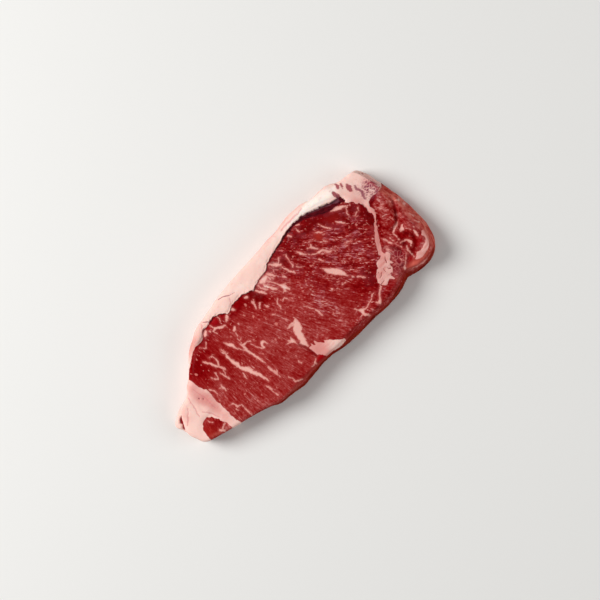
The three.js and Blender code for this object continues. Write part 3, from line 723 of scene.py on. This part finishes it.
def readPoints(mesh):
    count = len(mesh.vertices)
    places = np.empty(count * 3)
    mesh.vertices.foreach_get("co", places)
    normals = np.empty(count * 3)
    mesh.vertex_normals.foreach_get("vector", normals)
    return places.reshape(-1, 3), normals.reshape(-1, 3)


def writeMarks(mesh, marks):
    for name, values in marks.items():
        isVector = values.ndim == 2
        attribute = mesh.attributes.new(name, "FLOAT_VECTOR" if isVector else "FLOAT", "POINT")
        attribute.data.foreach_set("vector" if isVector else "value", values.astype(np.float32).ravel())


def stray(x, y, z, offset):
    # outlines wander a little, and the layout drifts through the thickness
    longWay, longSize = straying["long"]
    shortWay, shortSize = straying["short"]
    drift = straying["drift"] * fade(straying["driftBelow"], 0, z)
    wander = longWay * noiseOver(x, y, z, longSize, offset)
    wander += shortWay * noiseOver(x, y, z, shortSize, offset + 2)
    return wander + drift * noiseOver(x, y, z, straying["driftSize"], offset + 6)


def layFat(x, y, up):
    fat = np.full(x.shape, farAway)
    toneSum, weightSum = np.zeros(x.shape), np.zeros(x.shape)
    for name, corners in fatAreas.items():
        distance = distanceToArea(corners, x, y)
        fat = np.minimum(fat, distance)
        weight = np.exp(-np.clip(distance, -8, 8) / 1.2)
        toneSum += fatTones[name] * weight
        weightSum += weight
    # whiter fat, with painted light on the corner's downward slope
    tone = toneSum / weightSum + 0.5 * up * softShare("whiteFatAndPaintedLight", x, y)
    tone -= (0.2 + 0.25 * up) * softShare("pinkFat", x, y)
    return fat, np.clip(tone, -0.5, 1)


def laySkin(x, y, normals):
    atEnd = fade(*skinSpread["fromX"], x) * fade(*skinSpread["belowY"], y)
    leanSide = fade(*skinSpread["leanFacing"], -normals[:, 1]) * skinSpread["leanShare"]
    return np.maximum(fade(*skinSpread["facing"], normals[:, 0]) * atEnd, leanSide)


def soft(name, distance):
    return fade(*softEdges[name], distance)


def twoWaves(name, x, y, z, offsets):
    coarse, fine, share = waves[name]
    return noiseOver(x, y, z, coarse, offsets[0]) + share * noiseOver(x, y, z, fine, offsets[1])


def dent(distance, depthAndWidth):
    depth, width = depthAndWidth
    return depth * np.exp(-(distance / width) ** 2)


def raiseEdges(places, x, y, z, up, intoCap):
    distances, heights = zip(*seamFill["heights"])
    onSeam = fade(*seamFill["fromX"], x) * fade(*seamFill["toX"], x)
    places[:, 2] += np.interp(intoCap, distances, heights) * onSeam * up * mm
    onEdge = fade(*bandEdge["into"], intoCap) * fade(*bandEdge["until"], intoCap)
    onEdge *= fade(*bandEdge["fromX"], x) * fade(*bandEdge["toX"], x)
    places[:, 2] += np.clip(bandEdge["top"] - z, 0, bandEdge["most"]) * onEdge * up * mm
    onSide = fade(*cornerSide["fromX"], x) * fade(*cornerSide["fromY"], y)
    onSide *= fade(*cornerSide["height"], z)
    places[:, 2] += np.clip(cornerSide["top"] - z, 0, cornerSide["most"]) * onSide * mm
    (tipX, tipY), (sizeX, sizeY) = flap["tip"], flap["size"]
    onTip = np.exp(-((x - tipX) / sizeX) ** 2 - ((y - tipY) / sizeY) ** 2) * fade(*flap["height"], z)
    places[:, 0] -= flap["reach"] * mm * onTip
    places[:, 2] = np.clip(places[:, 2], 0, relief["highest"] * mm)


def shapeAndMark(steak):
    mesh = steak.data
    places, normals = readPoints(mesh)
    x = places[:, 0] / mm + planShift[0]
    y = places[:, 1] / mm + planShift[1]
    z = places[:, 2] / mm
    liftWander, liftSize = cutFace["liftWaves"]
    lift = fade(*cutFace["liftHeight"], z + liftWander * noiseOver(x, y, z, liftSize, 1.3))
    up = fade(*cutFace["normal"], normals[:, 2] + cutFace["lift"] * lift)
    down = fade(*cutFace["underside"], -normals[:, 2])
    wall = np.clip(1 - up - down, 0, 1)

    lx = x + stray(x, y, z, 3.1)
    ly = y + stray(x, y, z, 7.7)

    fat, fatTone = layFat(lx, ly, up)
    onCapSide = fade(*capSide["facing"], normals[:, 1]) * fade(*capSide["height"], z)
    fat -= farAway * onCapSide * fade(*capSide["x"], x)
    solidFat = fat
    fat = np.maximum(fat, -distanceToVeins(leanIslands, lx, ly))
    marbling = np.full(x.shape, farAway)
    for corners in marblingAreas.values():
        marbling = np.minimum(marbling, distanceToArea(corners, lx, ly))
    placed = tailSideVeins + middleVeins + seamSideVeins
    upperVeins = placed + endVeins + tailVeins
    lowerVeins = turnedOver(placed, straying["mirrorAt"]) + endVeins + tailVeins
    isUpper = z > straying["undersideBelow"]
    fleck = np.full(x.shape, farAway)
    for part, veins, seed in ((isUpper, upperVeins, 0), (~isUpper, lowerVeins, 1)):
        marbling[part] = np.minimum(marbling[part], distanceToVeins(veins, lx[part], ly[part]))
        fleck[part] = distanceToVeins(makeFlecks(flecks["seed"] + seed), lx[part], ly[part])
    # no veins in the fat, thinner ones on the walls, and fewer flecks where the lean is deepest red
    thinner = straying["wallThinning"] * wall
    marbling = np.where(solidFat < 0.2, farAway, marbling) + thinner
    deepRed = softShare("deepRed", x, y)
    fleck += thinner + straying["redThinning"] * fade(0.7, 1.1, deepRed)

    seam = distanceToVeins([capSeamLine, leftSeamLine], lx, ly)
    cracks = distanceToVeins(fatCracks, x, y)
    folds = distanceToVeins(fatFolds, lx, ly)
    crease = distanceToVeins(creases, lx, ly)
    holes = distanceToVeins(tailHoles, x, y)
    gap = distanceToArea(flapGap, x, y) + 5 * fade(*flap["gapFrom"], z) + 5 * fade(*flap["gapTo"], z)

    # grain: distance from the centre of the fan, and arc across it
    fromX, fromY = x - grainCentre[0], y - grainCentre[1]
    along = np.hypot(fromX, fromY)
    across = np.arctan2(fromY, fromX) * grainRadius
    inEnd = soft("endMuscle", distanceToArea(endMuscle, x, y))
    rough = softShare("rough", x, y) * (1 - inEnd)

    # relief, in mm along each point's normal
    bundles = twoWaves("bundle", along * grainPull, across, z, (4.0, 2.0))
    lumps = twoWaves("lump", x, y, z, (5.0, 8.0))
    pulled = layerWaves["alongWall"]
    layers = noiseOver(x * pulled, y * pulled, z, layerWaves["size"], 6.0) + 0.5 * lumps
    lean = soft("lean", fat)
    smoothest, roughest = relief["fibres"]
    fibres = smoothest + (roughest - smoothest) * rough
    push = relief["fatRise"] * soft("fat", fat)
    push += relief["marblingRise"] * soft("marbling", marbling) * lean
    onRight = fade(*relief["seamDeepens"], x)
    for name, share in (("seamLeft", 1 - onRight), ("seamRight", onRight)):
        push -= share * dent(np.maximum(seam, 0), relief[name])
    for name, distance in (("crack", cracks), ("crease", crease), ("hole", holes)):
        push -= dent(np.maximum(distance, 0), relief[name])
    push -= dent(folds, relief["fold"])
    lipRise, lipAt, lipWidth = flap["lip"]
    push += dent(gap - lipAt, (lipRise, lipWidth)) - flap["gapDepth"] * soft("gap", gap)
    push += lean * (fibres * bundles * (1 - inEnd) + relief["endLumps"] * lumps * inEnd)
    push += (1 - lean) * lumps * relief["fatLumps"]
    push *= up
    push += wall * (layers + layerWaves["offset"]) * relief["walls"]
    push += down * lean * bundles * relief["underside"]
    places += normals * (push * mm)[:, None]
    raiseEdges(places, x, y, z, up, -distanceToArea(fatAreas["cap"], lx, ly))
    mesh.vertices.foreach_set("co", places.ravel())
    mesh.update()

    marks = {
        "fat": fat,
        "fatTone": fatTone,
        "marbling": marbling,
        "fleck": fleck,
        "seam": seam,
        "sheen": distanceToVeins([bandSheen], lx, ly),
        "redStains": distanceToVeins(redStains, lx, ly) + 3 * (1 - up),
        "purpleStains": distanceToVeins(purpleStains, lx, ly) + 3 * (1 - up),
        "whiteSpecks": distanceToVeins(whiteSpecks, x, y),
        "cracks": np.minimum(cracks, holes),
        "folds": folds,
        "crease": crease,
        "flapGap": gap,
        "grain": np.stack([along, across, z], 1),
        "inEnd": inEnd,
        "rough": rough,
        "wall": wall,
        "skin": laySkin(x, y, normals) * soft("bareSkin", marbling),
        "deepRed": deepRed,
    }
    for name in ("palePink", "salmon", "mixedFat", "streaky"):
        marks[name] = softShare(name, x, y)
    for name in ("vivid", "orangeRed", "shade", "lumps", "paintedShadeFat", "purple"):
        marks[name] = softShare(name, x, y) * up
    writeMarks(mesh, marks)


# Raw meat: lean, fat and skin in one material, told apart by the marks on the mesh

def srgb(red, green, blue):
    def linear(value):
        value /= 255
        return value / 12.92 if value <= 0.04045 else ((value + 0.055) / 1.055) ** 2.4
    return (linear(red), linear(green), linear(blue), 1)


class Nodes:
    # short ways to add shader nodes
    def __init__(self, material):
        self.tree = material.node_tree
        self.tree.nodes.clear()

    def put(self, socket, value):
        if isinstance(value, bpy.types.NodeSocket):
            self.tree.links.new(value, socket)
        else:
            socket.default_value = value

    def add(self, kind, inputs=None, **settings):
        node = self.tree.nodes.new(kind)
        for key, value in settings.items():
            setattr(node, key, value)
        for key, value in (inputs or {}).items():
            self.put(node.inputs[key], value)
        return node

    def mark(self, name, vector=False):
        node = self.add("ShaderNodeAttribute", attribute_name=name)
        return node.outputs["Vector" if vector else "Fac"]

    def sum(self, a, b):
        return self.add("ShaderNodeMath", {0: a, 1: b}, operation="ADD").outputs[0]

    def times(self, a, b):
        return self.add("ShaderNodeMath", {0: a, 1: b}, operation="MULTIPLY").outputs[0]

    def mix(self, share, a, b):
        node = self.add("ShaderNodeMix", data_type="RGBA")
        self.put(node.inputs[0], share)
        self.put(node.inputs[6], a)
        self.put(node.inputs[7], b)
        return node.outputs[2]

    def layer(self, name, value):
        return self.fade(value, *layerEdges[name])

    def spread(self, value, strength):
        # a pattern's swing about its middle
        return self.times(self.sum(value, -0.5), strength)

    def shown(self, name):
        return self.times(self.mark(name), softShown[name])

    def blend(self, share, a, b):
        node = self.add("ShaderNodeMix", {0: share, 2: a, 3: b}, data_type="FLOAT")
        return node.outputs[0]

    def fade(self, value, low, high, bottom=0.0, top=1.0):
        inputs = {"Value": value, "From Min": low, "From Max": high, "To Min": bottom, "To Max": top}
        return self.add("ShaderNodeMapRange", inputs, interpolation_type="SMOOTHSTEP").outputs["Result"]

    def ramp(self, value, stops):
        node = self.add("ShaderNodeValToRGB", {"Fac": value})
        elements = node.color_ramp.elements
        while len(elements) < len(stops):
            elements.new(0.5)
        for element, (position, colour) in zip(elements, stops):
            element.position, element.color = position, colour
        return node.outputs["Color"]

    def stretch(self, vector, scale, turn=0.0):
        inputs = {"Vector": vector, "Rotation": (0, 0, turn), "Scale": scale}
        return self.add("ShaderNodeMapping", inputs).outputs["Vector"]

    def noise(self, vector, scale, detail=2.0, roughness=0.5, output="Fac"):
        inputs = {"Vector": vector, "Scale": scale, "Detail": detail, "Roughness": roughness}
        return self.add("ShaderNodeTexNoise", inputs).outputs[output]

    def pattern(self, space, name):
        scale, *stretch = noiseScales[name]
        return self.noise(self.stretch(space, *stretch) if stretch else space, *scale)

    def net(self, vector, scale, bend):
        # distance to the nearest line of an uneven net
        bends = self.noise(vector, scale, 3, 0.6, "Color")
        moves = {0: bends, 1: (bend,) * 3, 2: vector}
        bent = self.add("ShaderNodeVectorMath", moves, operation="MULTIPLY_ADD")
        inputs = {"Vector": bent.outputs["Vector"], "Scale": scale}
        return self.add("ShaderNodeTexVoronoi", inputs, feature="DISTANCE_TO_EDGE").outputs["Distance"]


# Noise patterns as (scale, detail, roughness), and the stretch and turn of the space they lie in
noiseScales = {
    # along the grain, per mm
    "bundles": ((0.4, 3, 0.6), (0.22, 1, 1)),
    "threads": ((1.35, 3, 0.65), (0.22, 1, 1)),
    "fineLines": ((1.2, 2), (0.07, 1, 0.5)),
    # over the steak, per metre
    "mottle": ((560, 3, 0.7),),
    "broad": ((75, 3),),
    "clots": ((230, 4, 0.6),),
    "endStreaks": ((1, 3, 0.6), (560, 230, 300)),
    # patches of the painted sheen
    "paintedSheen": ((140, 2),),
    "crumbs": ((1, 5, 0.7), (480, 300, 400)),
    "softFat": ((95, 4, 0.55),),
    "waxy": ((330, 4, 0.6),),
    "fatStreaks": ((1, 4, 0.65), (130, 620, 300), -0.75),
    "layers": ((1, 4, 0.6), (60, 60, 520)),
    "silver": ((1, 3, 0.6), (70, 70, 640)),
    "patches": ((1, 4, 0.6), (200, 160, 320)),
}
nets = {"lump": (340, 0.0012), "cluster": (400, 0.0014)}  # scale, and how far its lines bend

# Lean from its deepest red to its palest fibres
leanRamp = [
    (0.0, srgb(114, 0, 2)),
    (0.2, srgb(130, 2, 6)),
    (0.4, srgb(144, 20, 20)),
    (0.5, srgb(152, 35, 33)),
    (0.65, srgb(165, 58, 55)),
    (0.8, srgb(187, 95, 91)),
    (1.0, srgb(220, 150, 143)),
]
meatColours = {
    "leanOrange": srgb(166, 40, 30),
    "leanVivid": srgb(160, 2, 12),
    # painted sheen on the rough lean
    "leanPaintedSheen": srgb(176, 100, 112),
    "veinThin": srgb(218, 142, 132),
    "veinGlow": srgb(184, 80, 76),
    "fleck": srgb(212, 122, 112),
    "lump": srgb(128, 20, 34),
    "lumpNet": srgb(206, 120, 116),
    "veinBroad": srgb(242, 184, 172),
    "fatDeep": srgb(206, 112, 106),
    "fatPaintedShade": srgb(196, 128, 104),
    # painted shade on the fat's down-curving edge
    "fatPink": srgb(222, 150, 142),
    "fat": srgb(248, 206, 194),
    "fatWhite": srgb(252, 238, 228),
    "fatBlush": srgb(212, 124, 126),
    "speck": srgb(240, 200, 190),
    "salmon": srgb(206, 98, 84),
    "redStain": srgb(158, 56, 68),
    "purple": srgb(148, 70, 86),
    # painted shade below the dark band
    "shade": srgb(100, 14, 28),
    # the dark band: dark tissue, with painted shade in the gap under the cap's edge
    "band": srgb(92, 12, 22),
    "bandDark": srgb(58, 4, 12),
    # painted sheen on the dark band's upper half
    "bandSheen": srgb(122, 70, 82),
    # painted shade in the creases of the lean
    "crease": srgb(104, 4, 8),
    "gap": srgb(136, 30, 34),
    "wall": srgb(146, 34, 14),
    "wallDark": srgb(100, 8, 2),
    "silverskin": srgb(196, 112, 98),
    "skin": srgb(188, 64, 54),
    "skinPale": srgb(212, 114, 100),
}
meatFinish = {
    "coat": (0.03, 0.25),  # on smooth and on rough lean
    "coatRoughness": 0.25,
    "specular": 0.0,
    "refraction": 1.4,
    "subsurface": 0.1,
    "subsurfaceReach": 1.4 * mm,
    "subsurfaceSpread": (1.0, 0.35, 0.2),
    "bumpHeight": 0.35 * mm,
    "bumpStrength": 0.8,
    "leanRoughness": (0.46, 0.34),  # smooth and rough lean
    "fatRoughness": 0.55,
    "sideRoughness": 0.8,
    "sideShown": 0.92,
    "unevenRoughness": 0.3,
}

# How strongly each pattern lightens and darkens the lean, on smooth and on rough lean
leanPattern = {
    "bundles": (0.45, 1.75),
    "threads": (0.85, 2.5),
    "mottle": (0.6, 1.1),
    "broad": (0.45, 0.4),
    "fibres": (0.2, 0.14),
    "splits": (-0.1, -0.2),
    "clots": 1.5,  # end muscle only
    "endStreaks": 1.3,
    # painted glints, partly pale connective tissue
    "glints": 0.75,  # rough lean only
    "deepRed": -0.62,
    "palePink": 0.32,
    "middle": (0.56, 0.42),
}


def leanColour(n, place, grain, colour):
    bundles, threads, fineLines = (n.pattern(grain, name) for name in ("bundles", "threads", "fineLines"))
    mottle = n.pattern(place, "mottle")
    broad = n.pattern(place, "broad")
    rough = n.mark("rough")
    inEnd = n.mark("inEnd")

    tone = n.blend(rough, *leanPattern["middle"])
    overall = {"bundles": bundles, "threads": threads, "mottle": mottle, "broad": broad}
    for name, pattern in overall.items():
        tone = n.sum(tone, n.spread(pattern, n.blend(rough, *leanPattern[name])))
    for name in ("fibres", "splits"):
        tone = n.sum(tone, n.times(n.layer(name, fineLines), n.blend(rough, *leanPattern[name])))
    for name in ("clots", "endStreaks"):
        tone = n.sum(tone, n.spread(n.pattern(place, name), n.times(inEnd, leanPattern[name])))
    # painted glints on the rough lean: pale streaks where threads and bundles peak, partly pale connective
    # tissue and partly painted highlight
    glints = n.times(n.layer("threadGlints", threads), n.layer("bundleGlints", bundles))
    tone = n.sum(tone, n.times(n.times(glints, rough), leanPattern["glints"]))
    for name in ("deepRed", "palePink"):
        tone = n.sum(tone, n.times(n.mark(name), leanPattern[name]))
    lean = n.ramp(tone, leanRamp)
    # painted sheen: silvery mauve patches on the lighter tones of the rough lean
    paintedSheen = n.times(n.layer("paintedSheenPatches", n.pattern(place, "paintedSheen")), n.layer("paintedSheenTone", tone))
    lean = n.mix(n.times(paintedSheen, rough), lean, colour["leanPaintedSheen"])
    for name, colourName in (("vivid", "leanVivid"), ("orangeRed", "leanOrange"), ("salmon", "salmon")):
        lean = n.mix(n.shown(name), lean, colour[colourName])
    return lean, bundles, threads, mottle


# Stains and specks, then dark lines: how much of the fraying they take, the distances where they
# start and are full, strength and colour
stains = {
    "redStains": (1, 0.5, -0.5, 0.9, "redStain"),
    "purpleStains": (1, 0.6, -0.5, 0.85, "purple"),
    "whiteSpecks": (1, 0.4, -0.3, 0.85, "speck"),
}
darkLines = {
    # painted sheen on the dark band's upper half
    "sheen": (1, 0.5, -0.4, 0.7, "bandSheen"),
    "folds": (0, 0.6, -0.1, 0.55, "fatBlush"),
    "cracks": (0, 0.35, -0.15, 0.85, "purple"),
    # painted shade in the creases
    "crease": (0, 1.1, -0.3, 0.65, "crease"),
    "flapGap": (0, 0.3, -0.3, 1, "gap"),
}

# Where a layer of the material starts and where it is full, by the mark or pattern it follows,
# and how much of it shows there
layerEdges = {
    "fibres": (0.58, 0.7),
    "splits": (0.4, 0.3),
    "threadGlints": (0.57, 0.66),
    "bundleGlints": (0.46, 0.56),
    "paintedSheenPatches": (0.48, 0.6),
    "paintedSheenTone": (0.5, 0.85, 0.1, 0.75),
    "vein": (0.2, -0.18, 0, 0.95),
    "veinBroad": (-0.1, -1),
    "veinGlow": (1.5, 0, 0, 0.4),
    "fleck": (0.2, -0.25, 0, 0.85),
    "lumpNet": (0.13, 0.01, 0, 0.8),
    "crumbs": (0.52, 0.62),
    "fatPink": (-0.45, 0),
    "fat": (0, 0.5),
    "fatWhite": (0.5, 1),
    "waxyBlush": (0.56, 0.8, 0, 0.35),
    "fatStreaks": (0.42, 0.6, 0, 0.6),
    "fatEdge": (0.25, -0.25),
    "cluster": (0.03, 0.2, 0.15, 1),
    # painted shade below the dark band, broken up by the threads
    "shadeThreads": (0.3, 0.55, 1, 0.7),
    "bandThreads": (0.35, 0.6),
    "seam": (0.3, -0.3),
    "wallLayers": (0.38, 0.66),
    "silverskin": (0.58, 0.72, 0, 0.3),
    "skinPale": (0.38, 0.6),
    "skinPatches": (0.25, 0.6, 0.55, 1),
    "coatOffWalls": (0.3, 0),
    "leanBump": (0, 1, 0.3, 1),
}
# How much shows of a soft area at its full strength
softShown = {"vivid": 0.8, "orangeRed": 1, "salmon": 0.85, "lumps": 0.75, "mixedFat": 0.45, "paintedShadeFat": 0.75}
# How much the threads and the mottle fray an edge, and how much of that the finer edges take
frayBy = {"threads": 1.5, "mottle": 0.9, "fleck": 0.5, "fat": 0.4, "seam": 0.4}


def layLines(n, surface, lines, fray):
    for name, (frayShare, start, full, strength, colourName) in lines.items():
        distance = n.sum(n.mark(name), n.times(fray, frayShare)) if frayShare else n.mark(name)
        surface = n.mix(n.fade(distance, start, full, 0, strength), surface, meatColours[colourName])
    return surface


def makeMeat():
    material = bpy.data.materials.new("rawMeat")
    material.use_nodes = True
    n = Nodes(material)
    colour = meatColours
    place = n.add("ShaderNodeTexCoord").outputs["Object"]
    grain = n.mark("grain", vector=True)
    lean, bundles, threads, mottle = leanColour(n, place, grain, colour)

    # marbling and fat, with edges frayed by the grain
    fray = n.sum(n.spread(threads, frayBy["threads"]), n.spread(mottle, frayBy["mottle"]))
    marbling = n.sum(n.mark("marbling"), fray)
    veinColour = n.mix(n.layer("veinBroad", marbling), colour["veinThin"], colour["veinBroad"])
    fleck = n.layer("fleck", n.sum(n.mark("fleck"), n.times(fray, frayBy["fleck"])))
    surface = n.mix(fleck, lean, colour["fleck"])
    lumps = n.mix(n.layer("lumpNet", n.net(place, *nets["lump"])), colour["lump"], colour["lumpNet"])
    surface = n.mix(n.shown("lumps"), surface, lumps)
    surface = n.mix(n.layer("veinGlow", marbling), surface, colour["veinGlow"])
    surface = n.mix(n.shown("mixedFat"), surface, colour["fatBlush"])
    crumbs = n.layer("crumbs", n.pattern(place, "crumbs"))
    surface = n.mix(n.times(crumbs, n.mark("mixedFat")), surface, colour["veinBroad"])
    surface = n.mix(n.layer("vein", marbling), surface, veinColour)

    waxy = n.pattern(place, "waxy")
    tone = n.sum(n.mark("fatTone"), n.spread(n.pattern(place, "softFat"), 0.5))
    fat = n.mix(n.layer("fatPink", tone), colour["fatDeep"], colour["fatPink"])
    for name in ("fat", "fatWhite"):
        fat = n.mix(n.layer(name, tone), fat, colour[name])
    fat = n.mix(n.layer("waxyBlush", waxy), fat, colour["fatBlush"])
    streaks = n.layer("fatStreaks", n.pattern(place, "fatStreaks"))
    fat = n.mix(n.times(n.mark("streaky"), streaks), fat, colour["fatDeep"])
    # painted shade where the fat's edge curves down
    fat = n.mix(n.shown("paintedShadeFat"), fat, colour["fatPaintedShade"])
    fatShare = n.layer("fatEdge", n.sum(n.mark("fat"), n.times(fray, frayBy["fat"])))
    surface = n.mix(fatShare, surface, fat)
    clusters = n.layer("cluster", n.net(n.stretch(place, (1, 1.6, 1)), *nets["cluster"]))
    surface = n.mix(n.times(n.mark("purple"), clusters), surface, colour["purple"])
    surface = layLines(n, surface, stains, fray)

    # seam, folds and creases: painted shade below the cap's edge, the dark band with painted shade in its
    # gap and a painted sheen on its upper half, and painted shade in the creases
    # painted shade below the dark band, broken up by the threads
    shade = n.times(n.mark("shade"), n.layer("shadeThreads", threads))
    surface = n.mix(shade, surface, colour["shade"])
    # the dark band along the seam: dark tissue, with painted shade in the gap under the cap's edge
    band = n.mix(n.layer("bandThreads", threads), colour["bandDark"], colour["band"])
    seam = n.layer("seam", n.sum(n.mark("seam"), n.times(fray, frayBy["seam"])))
    surface = n.mix(seam, surface, band)
    surface = layLines(n, surface, darkLines, fray)

    # sides and skin
    side = n.mix(n.layer("wallLayers", n.pattern(place, "layers")), colour["wall"], colour["wallDark"])
    side = n.mix(n.layer("silverskin", n.pattern(place, "silver")), side, colour["silverskin"])
    onSide = n.times(n.mark("wall"), n.blend(fatShare, meatFinish["sideShown"], 0.0))
    surface = n.mix(onSide, surface, side)
    patches = n.pattern(place, "patches")
    skin = n.mix(n.layer("skinPale", patches), colour["skin"], colour["skinPale"])
    surface = n.mix(n.times(n.mark("skin"), n.layer("skinPatches", patches)), surface, skin)

    # height and finish
    leanHeight = n.sum(n.times(bundles, 0.6), n.sum(n.times(threads, 0.7), n.times(mottle, 0.25)))
    leanHeight = n.times(leanHeight, n.layer("leanBump", n.mark("rough")))
    fatHeight = n.sum(n.times(waxy, 0.4), n.times(mottle, 0.15))
    bump = n.add("ShaderNodeBump", {
        "Strength": meatFinish["bumpStrength"],
        "Distance": meatFinish["bumpHeight"],
        "Height": n.blend(fatShare, leanHeight, fatHeight),
    })
    gloss = n.fade(n.mark("rough"), 0, 1)
    roughness = n.blend(gloss, *meatFinish["leanRoughness"])
    roughness = n.blend(fatShare, roughness, meatFinish["fatRoughness"])
    roughness = n.blend(n.mark("wall"), roughness, meatFinish["sideRoughness"])
    coat = n.times(n.layer("coatOffWalls", n.mark("wall")), n.blend(gloss, *meatFinish["coat"]))
    shader = n.add("ShaderNodeBsdfPrincipled", {
        "Base Color": surface,
        "Roughness": n.sum(roughness, n.spread(mottle, meatFinish["unevenRoughness"])),
        "Normal": bump.outputs["Normal"],
        "IOR": meatFinish["refraction"],
        "Specular IOR Level": meatFinish["specular"],
        "Coat Weight": coat,
        "Coat Roughness": meatFinish["coatRoughness"],
        "Subsurface Weight": meatFinish["subsurface"],
        "Subsurface Radius": meatFinish["subsurfaceSpread"],
        "Subsurface Scale": meatFinish["subsurfaceReach"],
    })
    output = n.add("ShaderNodeOutputMaterial")
    n.put(output.inputs["Surface"], shader.outputs[0])
    return material


steak = makeSteak()
print("steak: mesh of", sum(len(p.vertices) - 2 for p in steak.data.polygons), "triangles")
shapeAndMark(steak)
steak.data.materials.append(makeMeat())
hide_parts("striploin_steak")
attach(steak, "root")
print("steak: shaped and coloured")


# Floor, light and camera

studio = {
    "floorColour": srgb(236, 235, 232),
    "floorSize": 4.0,
    "floorBelow": 0.3 * mm,  # keeps the floor off the underside
    "floorRoughness": 0.9,
    "keyAt": (-0.8, 1.2, 1.3),
    "keyPower": 35,
    "keySize": 1.1,
    "fillAt": (0.9, -1.0, 1.0),
    "fillPower": 7,
    "skyStrength": 0.25,
    "sensorWidth": 36,
    "clipStart": 0.05,
    "cameraTurn": -47,  # the steak lies 47 degrees up to the right in the picture
    "cameraOver": (10.8, 0.7),  # mm
    "cameraHeight": 1500,  # mm above the cut face
    "faceHeight": 14,
    "pictureWidth": 420,
}


def makeFloor():
    board = bmesh.new()
    bmesh.ops.create_grid(board, x_segments=1, y_segments=1, size=studio["floorSize"] / 2)
    bmesh.ops.translate(board, verts=board.verts, vec=(0, 0, -studio["floorBelow"]))
    mesh = bpy.data.meshes.new("floor")
    board.to_mesh(mesh)
    board.free()
    floor = bpy.data.objects.new("floor", mesh)
    bpy.context.scene.collection.objects.link(floor)
    material = bpy.data.materials.new("floorPaper")
    material.use_nodes = True
    shader = material.node_tree.nodes["Principled BSDF"]
    shader.inputs["Base Color"].default_value = studio["floorColour"]
    shader.inputs["Roughness"].default_value = studio["floorRoughness"]
    mesh.materials.append(material)


def addLight(name, at, power, size):
    light = bpy.data.lights.new(name, "AREA")
    light.energy = power
    light.shape = "DISK"
    light.size = size
    lamp = bpy.data.objects.new(name, light)
    lamp.location = at
    lamp.rotation_euler = (-Vector(at)).to_track_quat("-Z", "Y").to_euler()
    bpy.context.scene.collection.objects.link(lamp)


def makeLightAndCamera():
    scene = bpy.context.scene
    addLight("key", studio["keyAt"], studio["keyPower"], studio["keySize"])
    addLight("fill", studio["fillAt"], studio["fillPower"], studio["keySize"])
    world = bpy.data.worlds.new("studio")
    world.use_nodes = True
    sky = world.node_tree.nodes["Background"]
    sky.inputs["Color"].default_value = (1, 1, 1, 1)
    sky.inputs["Strength"].default_value = studio["skyStrength"]
    scene.world = world
    scene.view_settings.view_transform = "Standard"

    camera = bpy.data.cameras.new("camera")
    camera.sensor_width = studio["sensorWidth"]
    camera.lens = studio["sensorWidth"] * studio["cameraHeight"] / studio["pictureWidth"]
    camera.clip_start = studio["clipStart"]
    view = bpy.data.objects.new("camera", camera)
    overX, overY = studio["cameraOver"]
    view.location = (overX * mm, overY * mm, (studio["cameraHeight"] + studio["faceHeight"]) * mm)
    view.rotation_euler = (0, 0, math.radians(studio["cameraTurn"]))
    scene.collection.objects.link(view)
    scene.camera = view


makeFloor()
makeLightAndCamera()
print("steak: floor, light and camera")
